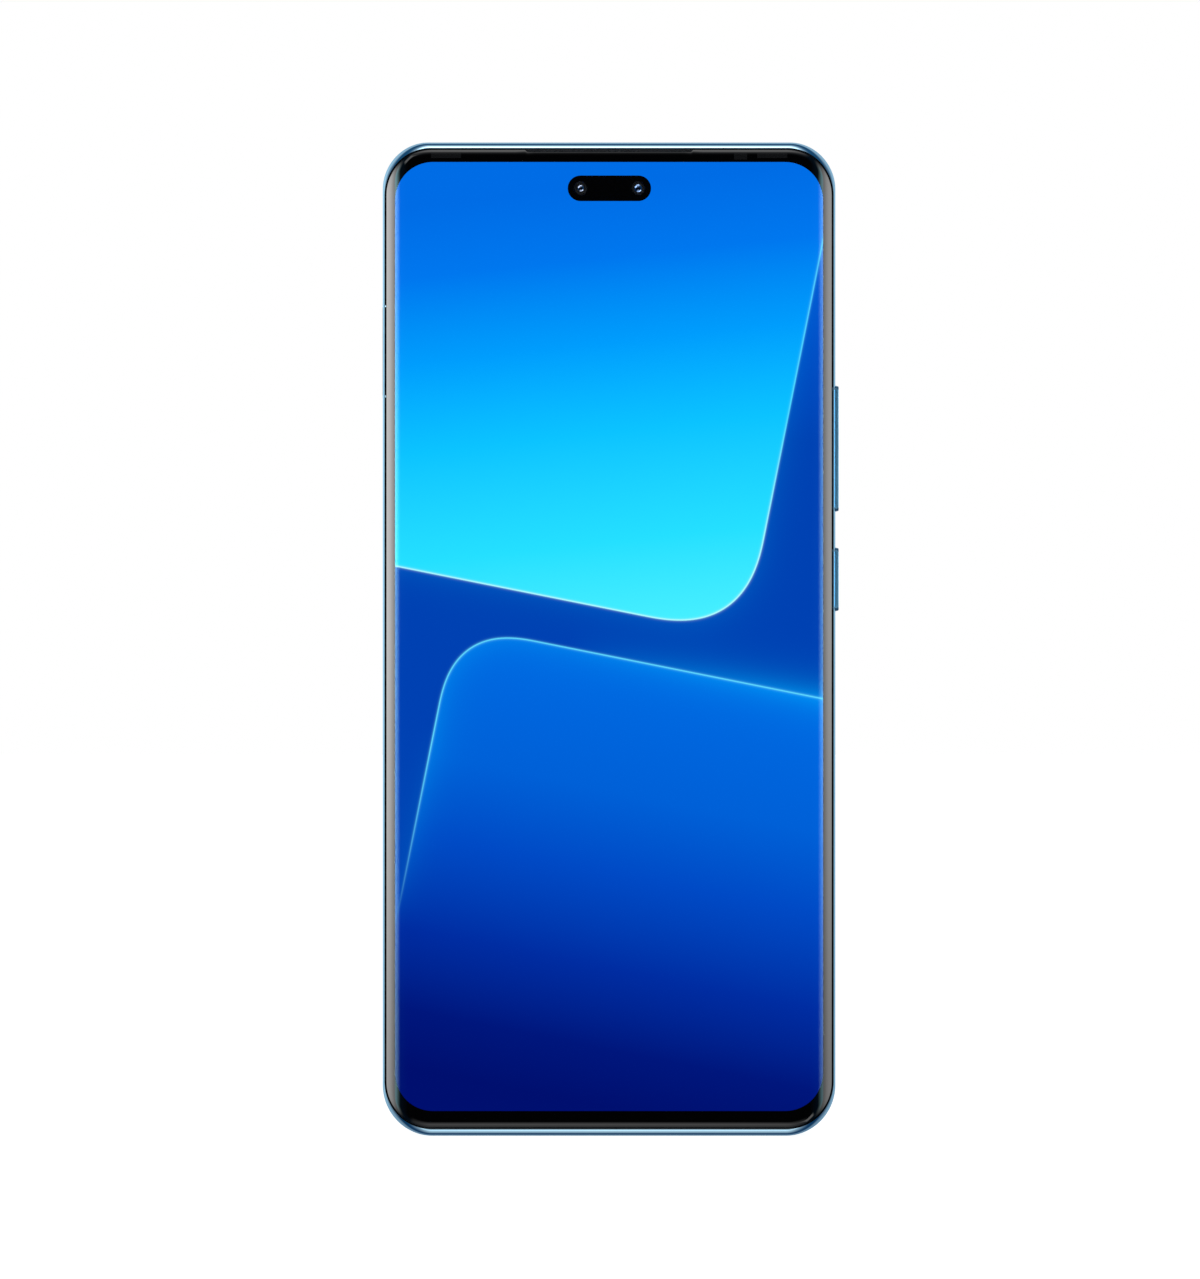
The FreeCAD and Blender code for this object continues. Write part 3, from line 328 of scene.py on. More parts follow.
def glass_outline(inset=0.0):
    radius = GLASS_CORNER_RADIUS - inset
    return outline(glass_high.x - inset, glass_low.z + inset, glass_high.z - inset, radius, radius,
                   run_stops=RUN_STOPS, side_stops=SIDE_STOPS)


def notch_depth(x, out_z):
    """Extra inset along the top edge, where the earpiece slot is."""
    if out_z < 0.999:
        return 0.0
    return min(max(NOTCH_HALF_LENGTH - abs(x), 0.0), NOTCH_DEPTH)


def rim_drop(distance, out_x, out_z):
    """How far the glass curves down near its top and bottom rims."""
    share = min(max(1 - distance / GLASS_RIM_WIDTH, 0.0), 1.0)
    return GLASS_RIM_DROP * endness(out_x, out_z) * share ** 2


# ---- Materials --------------------------------------------------------------------------------

def grey(value):
    return value, value, value, 1.0


def linear(red, green, blue):
    """Linear colour from everyday 0 to 255 values."""
    def channel(value):
        value /= 255
        return value / 12.92 if value <= 0.04045 else ((value + 0.055) / 1.055) ** 2.4
    return channel(red), channel(green), channel(blue), 1.0


def operation(kind, swapped=False):
    """Sum, product and so on of a node's output with a number or another output."""
    def apply(value, other):
        pair = (other, value) if swapped else (value, other)
        return value.shader.math(kind, *pair)
    return apply


class Value:
    """Output of a shader node that is used in sums like a number."""

    def __init__(self, shader, socket):
        self.shader = shader
        self.socket = socket

    __add__ = __radd__ = operation("ADD")
    __sub__ = operation("SUBTRACT")
    __rsub__ = operation("SUBTRACT", swapped=True)
    __mul__ = __rmul__ = operation("MULTIPLY")
    __truediv__ = operation("DIVIDE")
    __pow__ = operation("POWER")
    __rpow__ = operation("POWER", swapped=True)

    def __abs__(self):
        return self.shader.math("ABSOLUTE", self)

    def clamped(self):
        """The same value held between 0 and 1."""
        return self.shader.math("ADD", self, 0.0, clamp=True)


class Shader:
    """Short way to build one node material."""

    def __init__(self, name):
        self.material = bpy.data.materials.new(name)
        self.material.use_nodes = True
        self.tree = self.material.node_tree
        self.tree.nodes.clear()
        self.output = self.tree.nodes.new("ShaderNodeOutputMaterial")

    def node(self, kind, **settings):
        made = self.tree.nodes.new("ShaderNode" + kind)
        for key, value in settings.items():
            setattr(made, key, value)
        return made

    def put(self, socket, value):
        """Links a socket to an output, or sets it to a plain number or colour."""
        if isinstance(value, Value):
            value = value.socket
        if isinstance(value, bpy.types.NodeSocket):
            self.tree.links.new(value, socket)
        else:
            socket.default_value = value

    def math(self, operation, first, second=0.0, clamp=False):
        made = self.node("Math", operation=operation, use_clamp=clamp)
        self.put(made.inputs[0], first)
        self.put(made.inputs[1], second)
        return Value(self, made.outputs[0])

    def mix(self, share, first, second):
        made = self.node("Mix", data_type="RGBA", blend_type="MIX")
        self.put(made.inputs["Factor"], share)
        self.put(made.inputs[6], first)
        self.put(made.inputs[7], second)
        return Value(self, made.outputs[2])

    def ramp(self, share, stops):
        made = self.node("ValToRGB")
        elements = made.color_ramp.elements
        while len(elements) < len(stops):
            elements.new(0.5)
        for element, (position, colour) in zip(elements, stops):
            element.position = position
            element.color = colour
        self.put(made.inputs[0], share)
        return Value(self, made.outputs[0])

    def place(self):
        return self.node("TexCoord").outputs["Object"]

    def place_mm(self):
        """X and Z of the shaded place, in millimetres."""
        split = self.node("SeparateXYZ")
        self.put(split.inputs[0], self.place())
        return Value(self, split.outputs["X"]) / MM, Value(self, split.outputs["Z"]) / MM

    def noise(self, scale, detail=4.0, stretch=(1, 1, 1)):
        """Noise from 0 to 1; scale is in features per millimetre."""
        mapping = self.node("Mapping")
        mapping.inputs["Scale"].default_value = [scale / MM * s for s in stretch]
        self.tree.links.new(self.place(), mapping.inputs["Vector"])
        made = self.node("TexNoise")
        made.inputs["Scale"].default_value = 1.0
        made.inputs["Detail"].default_value = detail
        self.tree.links.new(mapping.outputs[0], made.inputs["Vector"])
        return Value(self, made.outputs["Fac"])

    def spread(self, share, low, high):
        """Moves a 0 to 1 value into a range."""
        return share * (high - low) + low

    def bump(self, height, depth):
        """Bump of a given depth in millimetres."""
        made = self.node("Bump")
        made.inputs["Strength"].default_value = 1.0
        made.inputs["Distance"].default_value = depth * MM
        self.put(made.inputs["Height"], height)
        return made.outputs[0]

    def principled(self, colour, roughness, metallic=0.0, normal=None, **constants):
        made = self.node("BsdfPrincipled")
        self.put(made.inputs["Base Color"], colour)
        self.put(made.inputs["Roughness"], roughness)
        made.inputs["Metallic"].default_value = metallic
        if normal is not None:
            self.put(made.inputs["Normal"], normal)
        for key, value in constants.items():
            made.inputs[key.replace("_", " ")].default_value = value
        self.finish(made.outputs[0])
        return made

    def finish(self, shader):
        self.tree.links.new(shader, self.output.inputs["Surface"])
        return self.material

    def veil(self, share, through_colour, shine_colour, roughness):
        """Mirrors the given share of the light and lets the rest through."""
        through = self.node("BsdfTransparent")
        self.put(through.inputs["Color"], through_colour)
        mirror = self.node("BsdfGlossy")
        self.put(mirror.inputs["Color"], shine_colour)
        self.put(mirror.inputs["Roughness"], roughness)
        mixed = self.node("MixShader")
        self.put(mixed.inputs[0], share)
        self.put(mixed.inputs[1], through.outputs[0])
        self.put(mixed.inputs[2], mirror.outputs[0])
        return self.finish(mixed.outputs[0])


METAL_TINT = (0.50, 0.76, 0.93, 1.0)
METAL_TINT_DEEP = (0.44, 0.71, 0.90, 1.0)


def polished_frame():
    """Polished, tinted metal with faint lengthwise polishing marks and cloudy handling marks."""
    shader = Shader("polished_frame")
    marks = shader.noise(0.9, 6.0, (6.0, 6.0, 0.5))
    clouds = shader.noise(0.06, 3.0)
    colour = shader.mix(clouds, METAL_TINT_DEEP, METAL_TINT)
    roughness = shader.spread(marks * clouds, 0.05, 0.16)
    normal = shader.bump(marks, 0.0006)
    shader.principled(colour, roughness, 1.0, normal, Specular_Tint=(0.55, 0.80, 0.95, 1.0))
    return shader.material


def satin_metal(name, tint, low=0.22, high=0.34):
    """Blasted metal: fine grain in the bump and a soft, even shine."""
    shader = Shader(name)
    grain = shader.noise(14.0, 2.0)
    clouds = shader.noise(0.08, 3.0)
    darker = tuple(channel * 0.9 for channel in tint[:3]) + (1.0,)
    colour = shader.mix(clouds, darker, tint)
    shader.principled(colour, shader.spread(grain, low, high), 1.0, shader.bump(grain, 0.004))
    return shader.material


GLOSS_SHARE = 0.6


def clear_glass():
    """Clear skin of the cover glass: what lies under it shows, and its face mirrors the room.
    The mirror part is taken as a larger share of a dimmer shine, which gives the same reflection
    with less grain; the display behind it is brighter to match."""
    shader = Shader("clear_glass")
    fresnel = shader.node("Fresnel")
    fresnel.inputs["IOR"].default_value = 1.5
    reflected = Value(shader, fresnel.outputs[0])
    shine = reflected ** (1 - GLOSS_SHARE)
    dim = shader.node("CombineColor")
    for channel in dim.inputs:
        shader.put(channel, shine)
    roughness = shader.spread(shader.noise(0.05, 4.0), 0.0, 0.012)
    return shader.veil(reflected ** GLOSS_SHARE, (1.0, 1.0, 1.0, 1.0), dim.outputs[0], roughness)


def open_face():
    """Inner face of the cover glass, bonded to the display, so that it mirrors nothing."""
    shader = Shader("bonded_face")
    return shader.finish(shader.node("BsdfTransparent").outputs[0])


def black_glass(windows):
    """Glass with black print behind it; the sensor windows in it are a shade lighter."""
    shader = Shader("black_glass")
    x, z = shader.place_mm()
    lighter = 0.0
    for (centre_x, centre_z), (width, height) in windows:
        across = shader.math("LESS_THAN", abs(x - centre_x), width / 2)
        along = shader.math("LESS_THAN", abs(z - centre_z), height / 2)
        lighter = shader.math("MAXIMUM", lighter, across * along)
    grain = shader.noise(8.0, 2.0)
    black = shader.mix(grain, linear(0, 0, 0), linear(4, 4, 5))
    colour = shader.mix(lighter, black, linear(17, 17, 18))
    shader.principled(colour, shader.spread(grain, 0.0, 0.03), 0.0, IOR=1.5)
    return shader.material


def pill_black_shade():
    """Black of the pill round the front cameras, with a barely visible grain: partly the cameras' own dark
    surround, partly painted shade for the hole in the display.
    """
    shader = Shader("pill_black_shade")
    # This black is partly the cameras' own dark surround and partly painted shade for the hole in the
    # display.
    grain = shader.noise(8.0, 2.0)
    colour = shader.mix(grain, linear(3, 3, 4), linear(9, 9, 11))
    shader.principled(colour, shader.spread(grain, 0.5, 0.7), Specular_IOR_Level=0.02)
    return shader.material


CORNER_POWER = 2.6


def corner_distance(across, along, radius):
    """Distance outside a soft corner whose sides lie at across = 0 and along = 0, inside negative."""
    pick = across.shader.math
    first, second = across + radius, along + radius
    powers = pick("MAXIMUM", first, 0.0) ** CORNER_POWER + pick("MAXIMUM", second, 0.0) ** CORNER_POWER
    outside = powers ** (1 / CORNER_POWER)
    inside = pick("MINIMUM", pick("MAXIMUM", first, second), 0.0)
    return outside + inside - radius


def inside_of(distance, blur=0.1):
    """1 inside an edge, 0 outside, over a soft width in millimetres."""
    return (distance * (-1.0 / blur) + 0.5).clamped()


def falloff(distance, reach):
    """1 at an edge, fading on both sides of it over a reach in millimetres."""
    return math.e ** (abs(distance) * (-1.0 / reach))


DISPLAY_STRENGTH = 1.2
PANEL_TILT = math.radians(11.3)
UPPER_PANEL = {"right": 5.6, "bottom": 82.75, "radius": 16.5}
LOWER_PANEL = {"left": -40.3, "top": 75.5, "radius": 13.5}
UPPER_FADE_LEAN = 0.107
UPPER_FADE_START = 80.0
UPPER_FADE_LENGTH = 76.0
GLOW_REACH = 2.0
LINE_REACH = 0.1


def lit_display():
    """Lit screen with a plain abstract picture: two tilted round-cornered panels on deep blue."""
    shader = Shader("lit_display")
    x, z = shader.place_mm()
    tilt_cos, tilt_sin = math.cos(PANEL_TILT), math.sin(PANEL_TILT)
    u = x * tilt_cos - z * tilt_sin
    v = x * tilt_sin + z * tilt_cos
    upper = corner_distance(u - UPPER_PANEL["right"], UPPER_PANEL["bottom"] - v, UPPER_PANEL["radius"])
    lower = corner_distance(LOWER_PANEL["left"] - u, v - LOWER_PANEL["top"], LOWER_PANEL["radius"])

    # Deep blue ground, lighter towards the top, and a fade of its own for each panel.
    ground = shader.ramp(z / LENGTH, [(0.7, linear(0, 64, 176)), (0.93, linear(0, 86, 216))])
    upper_share = (z - x * UPPER_FADE_LEAN - UPPER_FADE_START) / UPPER_FADE_LENGTH
    upper_fill = shader.ramp(upper_share, [
        (0.0, linear(72, 238, 255)), (0.2, linear(36, 221, 255)), (0.43, linear(11, 193, 255)),
        (0.62, linear(0, 155, 250)), (0.8, linear(0, 118, 236)), (0.95, linear(0, 107, 227)),
    ])
    lower_fill = shader.ramp(v / LOWER_PANEL["top"], [
        (0.06, linear(0, 15, 110)), (0.18, linear(0, 22, 123)), (0.35, linear(0, 44, 160)),
        (0.55, linear(0, 73, 195)), (0.72, linear(0, 95, 213)), (0.95, linear(0, 103, 222)),
    ])

    # A fine line on each panel's edge, and a soft glow on both sides of it. The lower panel's line
    # fades downwards, and its glow is stronger to the right.
    light = linear(0, 165, 255)
    rightwards = ((u + 22.0) / 42.0).clamped()
    fade = ((v - 26.0) / 30.0).clamped()
    low_left = ((66.0 - z) / 22.0).clamped()
    within = inside_of(lower, 0.2)
    glow_within = rightwards * 0.3 + 0.3
    glow_beyond = rightwards * 0.58 + low_left * 0.16
    glow = within * glow_within + (1.0 - within) * glow_beyond
    lower_glow = falloff(lower, GLOW_REACH) * glow * fade
    lower_line = falloff(lower + LINE_REACH, LINE_REACH) * fade
    upper_glow = falloff(upper, GLOW_REACH) * 0.10
    upper_line = falloff(upper + LINE_REACH, LINE_REACH) * 0.9
    upper_line_colour = shader.ramp(z / LENGTH, [(0.58, linear(205, 255, 255)), (0.72, linear(95, 228, 255))])

    picture = shader.mix(inside_of(lower), ground, lower_fill)
    picture = shader.mix(lower_glow, picture, light)
    picture = shader.mix(lower_line, picture, linear(110, 235, 255))
    picture = shader.mix(upper_glow, picture, light)
    picture = shader.mix(inside_of(upper), picture, upper_fill)
    picture = shader.mix(upper_line, picture, upper_line_colour)

    surface = shader.principled((0.0, 0.0, 0.0, 1.0), 0.5, Specular_IOR_Level=0.0,
                                Emission_Strength=DISPLAY_STRENGTH)
    shader.put(surface.inputs["Emission Color"], picture)
    return shader.material


def glass_back():
    """Frosted, tinted glass back: pearly grain under a clear coat."""
    shader = Shader("glass_back")
    pearl = shader.noise(6.0, 3.0)
    clouds = shader.noise(0.02, 2.0)
    colour = shader.mix(clouds, (0.30, 0.55, 0.80, 1.0), (0.36, 0.62, 0.85, 1.0))
    colour = shader.mix(pearl * 0.25, colour, (0.62, 0.80, 0.95, 1.0))
    shader.principled(colour, shader.spread(pearl, 0.30, 0.42), 0.35, shader.bump(pearl, 0.002),
                      Coat_Weight=0.6, Coat_Roughness=0.12)
    return shader.material


def fine_plastic(name, colour, roughness=0.45, grain=9.0):
    """Moulded plastic with a fine spark-eroded texture."""
    shader = Shader(name)
    texture = shader.noise(grain, 3.0)
    lighter = tuple(min(channel * 1.35 + 0.006, 1.0) for channel in colour[:3]) + (1.0,)
    shade = shader.mix(texture, colour, lighter)
    shader.principled(shade, shader.spread(texture, roughness - 0.08, roughness + 0.1), 0.0,
                      shader.bump(texture, 0.01))
    return shader.material


def brushed_metal(name, colour, along=(1, 1, 12)):
    """Rolled or brushed metal with fine lines across one direction."""
    shader = Shader(name)
    lines = shader.noise(0.8, 5.0, along)
    darker = tuple(channel * 0.75 for channel in colour[:3]) + (1.0,)
    shader.principled(shader.mix(lines, darker, colour), shader.spread(lines, 0.2, 0.42), 1.0,
                      shader.bump(lines, 0.003))
    return shader.material


def speaker_mesh():
    """Woven dark mesh: round holes in rows on dark metal, the holes painted near-black as painted shade in
    the openings.
    """
    shader = Shader("speaker_mesh")
    cells = shader.node("TexVoronoi")
    cells.inputs["Scale"].default_value = 7.0 / MM
    cells.inputs["Randomness"].default_value = 0.0
    shader.put(cells.inputs["Vector"], shader.place())
    holes = shader.math("LESS_THAN", cells.outputs["Distance"], 0.3)
    # The holes' near-black colour is painted shade for the openings; the bump dips them.
    colour = shader.mix(holes, (0.03, 0.03, 0.035, 1.0), (0.002, 0.002, 0.002, 1.0))
    shader.principled(colour, 0.45, 0.6, shader.bump(holes, -0.03))
    return shader.material


def circuit_board():
    """Dark solder mask over copper traces, with small bright pads."""
    shader = Shader("circuit_board")
    traces = shader.node("TexBrick")
    traces.inputs["Scale"].default_value = 0.45 / MM
    traces.inputs["Mortar Size"].default_value = 0.03
    traces.inputs["Color1"].default_value = (0.004, 0.030, 0.055, 1.0)
    traces.inputs["Color2"].default_value = (0.006, 0.045, 0.075, 1.0)
    traces.inputs["Mortar"].default_value = (0.02, 0.10, 0.13, 1.0)
    shader.put(traces.inputs["Vector"], shader.place())
    pads = shader.node("TexVoronoi")
    pads.inputs["Scale"].default_value = 0.9 / MM
    shader.put(pads.inputs["Vector"], shader.place())
    is_pad = shader.math("LESS_THAN", pads.outputs["Distance"], 0.12)
    colour = shader.mix(is_pad, traces.outputs["Color"], (0.75, 0.62, 0.30, 1.0))
    shader.principled(colour, 0.32, 0.0, shader.bump(traces.outputs["Fac"], 0.01))
    return shader.material


def ribbon():
    """Amber ribbon with fine copper lines along it."""
    shader = Shader("ribbon")
    waves = shader.node("TexWave", wave_type="BANDS", bands_direction="X")
    waves.inputs["Scale"].default_value = 0.9 / MM
    shader.put(waves.inputs["Vector"], shader.place())
    colour = shader.mix(waves.outputs["Fac"], (0.42, 0.16, 0.03, 1.0), (0.62, 0.27, 0.06, 1.0))
    shader.principled(colour, 0.3, 0.0, shader.bump(waves.outputs["Fac"], 0.008))
    return shader.material


def battery_wrap():
    """Dark wrapped pouch with soft creases, painted darker in their hollows as painted shade."""
    shader = Shader("battery_wrap")
    creases = shader.noise(0.15, 6.0)
    # Colour follows the crease height: painted shade in the hollows, lighter on the ridges.
    colour = shader.mix(creases, (0.012, 0.012, 0.013, 1.0), (0.035, 0.035, 0.038, 1.0))
    shader.principled(colour, shader.spread(creases, 0.35, 0.6), 0.0, shader.bump(creases, 0.05))
    return shader.material


def coated_lens(name, tint, roughness=0.02):
    """Dark lens glass with a coloured coating that shows at a slant."""
    shader = Shader(name)
    weight = shader.node("LayerWeight")
    weight.inputs["Blend"].default_value = 0.35
    swirl = shader.noise(0.5, 2.0)
    colour = shader.mix(weight.outputs["Facing"], (0.002, 0.002, 0.004, 1.0), tint)
    colour = shader.mix(swirl * 0.3, colour, (0.01, 0.004, 0.03, 1.0))
    shader.principled(colour, roughness, 0.0, Coat_Weight=1.0, Coat_Roughness=0.01, IOR=1.7)
    return shader.material


def mirror_lens(name, edge_tint, centre_tint):
    """Small front lens: its coating mirrors the soft boxes and is darker towards its middle."""
    shader = Shader(name)
    cloud = shader.noise(1.2, 2.0)
    weight = shader.node("LayerWeight")
    weight.inputs["Blend"].default_value = 0.5
    colour = shader.mix(weight.outputs["Facing"], centre_tint, edge_tint)
    shader.principled(colour, shader.spread(cloud, 0.03, 0.08), 1.0)
    return shader.material


def window_glass():
    """Clear window over a back camera."""
    shader = Shader("window_glass")
    fresnel = shader.node("Fresnel")
    fresnel.inputs["IOR"].default_value = 1.6
    roughness = shader.spread(shader.noise(0.3, 3.0), 0.0, 0.04)
    return shader.veil(fresnel.outputs[0], (0.82, 0.86, 0.92, 1.0), grey(0.8), roughness)


def flash_plastic():
    """Milky lens with fine concentric grooves about the flash's axis, yellow at its middle."""
    shader = Shader("flash_plastic")
    x, z = shader.place_mm()
    x, z = x - FLASH[0], z - FLASH[1]
    radius = shader.math("SQRT", x * x + z * z)
    grooves = shader.math("SINE", radius * (2 * math.pi / FLASH_GROOVE_WIDTH))
    core = (1.0 - radius / FLASH_CORE_RADIUS).clamped()
    colour = shader.mix(core, (0.80, 0.79, 0.72, 1.0), (0.90, 0.72, 0.25, 1.0))
    shader.principled(colour, 0.25, 0.0, shader.bump(grooves, 0.03), Coat_Weight=0.5, Coat_Roughness=0.05)
    return shader.material


# ---- Frame ------------------------------------------------------------------------------------

def frame_section(outer, inner):
    """Closed section of the frame between a place on its outline and the glass's edge there."""
    x, z, out_x, out_z = outer
    share = endness(out_x, out_z)
    run_x, run_z = inner[0] - x, inner[1] - z
    width = -(run_x * out_x + run_z * out_z)
    step_down = GLASS_STEP * (1 + GLASS_STEP_GROWTH * share)
    rim = section_height(inner[0]) - GLASS_RIM_DROP * share - step_down
    wall_top = lerp(WALL_HALF_HEIGHT_SIDE, WALL_HALF_HEIGHT_END, share ** WALL_RISE_POWER)
    rise = rim - wall_top
    angle = 2 * math.atan(width / rise)
    half = []
    for step in range(ARC_STEPS + 1):
        turn = angle * step / ARC_STEPS
        along = (1 - math.cos(turn)) / (1 - math.cos(angle))
        height = wall_top + rise * math.sin(turn) / math.sin(angle)
        half.append((x + run_x * along, height, z + run_z * along))
    seat = rim - lerp(SEAT_SIDE, SEAT_END, share)
    inner_wall = lerp(WALL_SIDE, WALL_END, share)
    half.append((inner[0] - out_x * SLIVER, seat, inner[1] - out_z * SLIVER))
    half.append((x - out_x * inner_wall, seat, z - out_z * inner_wall))
    return [(x, -y, z) for x, y, z in reversed(half)] + half


def slot_cutter(name, y_half, z_span, x_span):
    """Round-ended bar along X."""
    steps = 12
    ring = []
    for centre_z, start in ((z_span[1] - y_half, 0), (z_span[0] + y_half, 180)):
        for step in range(steps + 1):
            turn = math.radians(start + 180 * step / steps)
            ring.append((y_half * math.cos(turn), centre_z + y_half * math.sin(turn)))
    return capped(name, [[(x, y, z) for y, z in ring] for x in x_span], [])


def port_cutter(name, x_half, y_half, z_span, centre_x=0.0):
    """Round-ended or round bar along Z."""
    steps = 16
    ring = []
    for centre, start in ((x_half - y_half, -90), (y_half - x_half, 90)):
        for step in range(steps + 1):
            turn = math.radians(start + 180 * step / steps)
            ring.append((centre_x + centre + y_half * math.cos(turn), y_half * math.sin(turn)))
    if x_half == y_half:
        ring = ring[:steps] + ring[steps + 1:-1]
    return capped(name, [[(x, y, z) for x, y in ring] for z in z_span], [])


def frame_cutters():
    """Slots of the keys and the tray, the charging port, and the round holes in both ends."""
    cutters = []
    for node in ("power_button", "volume_rocker"):
        low, high = box_mm(node)
        span = (low.z + KEY_MARGIN - KEY_GAP, high.z - KEY_MARGIN + KEY_GAP)
        cutters.append(slot_cutter("cut_" + node, KEY_HALF_HEIGHT + KEY_GAP, span, RIGHT_WALL))
    low, high = box_mm("sim_tray")
    span = (low.z - TRAY_GAP, high.z + TRAY_GAP)
    cutters.append(slot_cutter("cut_tray", high.y + TRAY_GAP, span, LEFT_WALL))
    bottom = (-OPENING_OVERSHOOT, OPENING_DEPTH)
    top = (LENGTH - OPENING_DEPTH, LENGTH + OPENING_OVERSHOOT)
    cutters.append(port_cutter("cut_port", *PORT_HALF_SIZE, bottom))
    holes = [
        ("cut_mic_low", MICROPHONE_RADIUS, bottom, LOW_MICROPHONE_X),
        ("cut_mic_high", MICROPHONE_RADIUS, top, HIGH_MICROPHONE_X),
        ("cut_infrared", INFRARED_RADIUS, top, INFRARED_X),
    ]
    for index, x in enumerate(SPEAKER_HOLES):
        holes.append(("cut_speaker_%d" % index, SPEAKER_HOLE_RADIUS, bottom, x))
    for name, radius, z_span, x in holes:
        cutters.append(port_cutter(name, radius, radius, z_span, x))
    return cutters


def build_frame(material, seat_foam_shade):
    """Polished shell; the walls and ledges that hold the two glasses are lined black: black foam, which also
    stands as painted shade in the narrow gap round each glass.
    """
    sections = [frame_section(*pair) for pair in zip(body_outline(), glass_outline(-GLASS_GAP))]
    points, faces = bridge(sections, closed=True)
    count = len(sections[0])
    # Faces of the black lining: the glass seats and the walls beside the glass edges, foam and painted shade
    # in the gap.
    lined = {0, 1, count - 3, count - 2, count - 1}
    kinds = [int(index % count in lined) for index in range(len(faces))]
    shell = make_object("frame_shell", points, faces, [material, seat_foam_shade], kinds)
    subtract(shell, frame_cutters())
    return finished(shell, "phone", "frame_metal", "mid_frame")


# ---- Side keys --------------------------------------------------------------------------------

def build_key(node, material):
    """Raised key on the right side: inner flange, slanted faces, rounded outer edges, half-round ends."""
    low, high = box_mm(node)
    flange_top = low.x + KEY_FLANGE_DEPTH
    levels = [
        (low.x, -KEY_FLANGE_LIP, 0.0),
        (flange_top, -KEY_FLANGE_LIP, 0.0),
        (flange_top, 0.0, KEY_MARGIN),
        (HALF_WIDTH + KEY_FOOT, 0.0, KEY_MARGIN),
        (high.x - KEY_EDGE, KEY_SLANT, KEY_MARGIN + KEY_SLANT),
    ]
    for step in range(1, KEY_EDGE_STEPS + 1):
        turn = math.radians(90 * step / KEY_EDGE_STEPS)
        inset = KEY_SLANT + KEY_EDGE * (1 - math.cos(turn))
        levels.append((high.x - KEY_EDGE * (1 - math.sin(turn)), inset, KEY_MARGIN + inset))
    rings = []
    for x, inset, margin in levels:
        radius = KEY_HALF_HEIGHT - inset
        ring = outline(radius, low.z + margin, high.z - margin, radius - SLIVER, radius - SLIVER, steps=16)
        rings.append([(x, -y, z) for y, z, _, _ in ring])
    return finished(capped(node + "_cap", rings, [material]), node, "frame_metal", node)


# ---- Front glass and display ------------------------------------------------------------------

def glass_places(notched):
    """Outline of a glass: place, outward direction, and the depth of the notch there."""
    places = []
    for x, z, out_x, out_z in glass_outline():
        notch = notch_depth(x, out_z) if notched else 0.0
        places.append((x, z - out_z * notch, out_x, out_z, notch))
    return places


def window_places():
    """Display outline with one point for each point of the glass outline."""
    return outline(display_high.x, display_low.z, display_high.z, DISPLAY_CORNER_RADIUS,
                   DISPLAY_CORNER_RADIUS, run_stops=RUN_STOPS, side_stops=SIDE_STOPS)


BORDER_SHARES = [0, 0.02, 0.05, 0.08, 0.12, 0.16, 0.2, 0.25, 0.3, 0.35, 0.4, 0.46, 0.53, 0.6, 0.7,
                 0.8, 0.9, 1]
WINDOW_DISTANCES = [0.12 * step for step in range(1, 25)]


def border_rings(places, side):
    """Rings of the outer face between the rim and the display's outline, with the rim's chamfer first."""
    rings = []
    for share in BORDER_SHARES:
        ring = []
        for (x, z, out_x, out_z, notch), window in zip(places, window_places()):
            start_x, start_z = x - out_x * GLASS_CHAMFER, z - out_z * GLASS_CHAMFER
            here_x, here_z = lerp(start_x, window[0], share), lerp(start_z, window[1], share)
            distance = (start_x - here_x) * out_x + (start_z - here_z) * out_z
            height = section_height(here_x) - rim_drop(distance + notch, out_x, out_z)
            ring.append((here_x, side * height, here_z))
        rings.append(ring)
    edge = [(place[0], point[1] - side * GLASS_CHAMFER, place[1]) for place, point in zip(places, rings[0])]
    return [edge] + rings


def window_rings(side, depth):
    """Rings inside the display's outline, down to the flat middle."""
    rings = []
    for distance in WINDOW_DISTANCES:
        ring = []
        for x, z, out_x, out_z in window_places():
            here_x = x - out_x * distance
            ring.append((here_x, side * section_height(here_x, depth), z - out_z * distance))
        rings.append(ring)
    return rings


def inner_rings(places, side, depth):
    """Rings of the inner face from the rim to the display's outline."""
    rings = []
    for share in BORDER_SHARES[::3]:
        ring = []
        for place, window in zip(places, window_places()):
            here_x, here_z = lerp(place[0], window[0], share), lerp(place[1], window[1], share)
            ring.append((here_x, side * section_height(here_x, depth), here_z))
        rings.append(ring)
    return rings


def build_back_glass(material):
    """Closed sheet with round holes for the lens rings and the flash."""
    places = glass_places(False)
    outside = border_rings(places, 1) + window_rings(1, 0.0)
    inside = inner_rings(places, 1, DISPLAY_DEPTH) + window_rings(1, DISPLAY_DEPTH)
    glass = capped("back_glass", list(reversed(inside)) + outside, [material])
    subtract(glass, lens_cutters("cut_lens"))
    return finished(glass, "phone", "back_glass", "back_cover")


def build_front_glass(border_material, clear_material, open_material):
    """Closed sheet: black border, clear window over the display, and the bonded inner face."""
    places = glass_places(True)
    window = window_rings(-1, 0.0)
    inside = inner_rings(places, -1, INK_DEPTH) + window_rings(-1, INK_DEPTH)
    rings = list(reversed(inside)) + border_rings(places, -1) + window
    border_bands = len(rings) - 1 - 2 * len(window)
    kinds = [2] * len(window) + [0] * border_bands + [1] * len(window)
    glass = capped("cover_glass", rings, [border_material, clear_material, open_material], kinds)
    return finished(glass, "phone", "cover_glass", "front_glass")


def build_display(material, back_material):
    """Thin lit panel just behind the window of the cover glass."""
    faces = []
    for depth in (DISPLAY_DEPTH, DISPLAY_DEPTH + DISPLAY_THICKNESS):
        edge = [(x, -section_height(x, depth), z) for x, z, _, _ in window_places()]
        faces.append([edge] + window_rings(-1, depth))
    front, back = faces
    kinds = [0] * (len(front) - 1) + [1] * len(back)
    panel = capped("display_sheet", list(reversed(front)) + back, [material, back_material], kinds)
    return finished(panel, "phone", "display", "display_panel")


# ---- Pill hole, sensors and front lenses ------------------------------------------------------

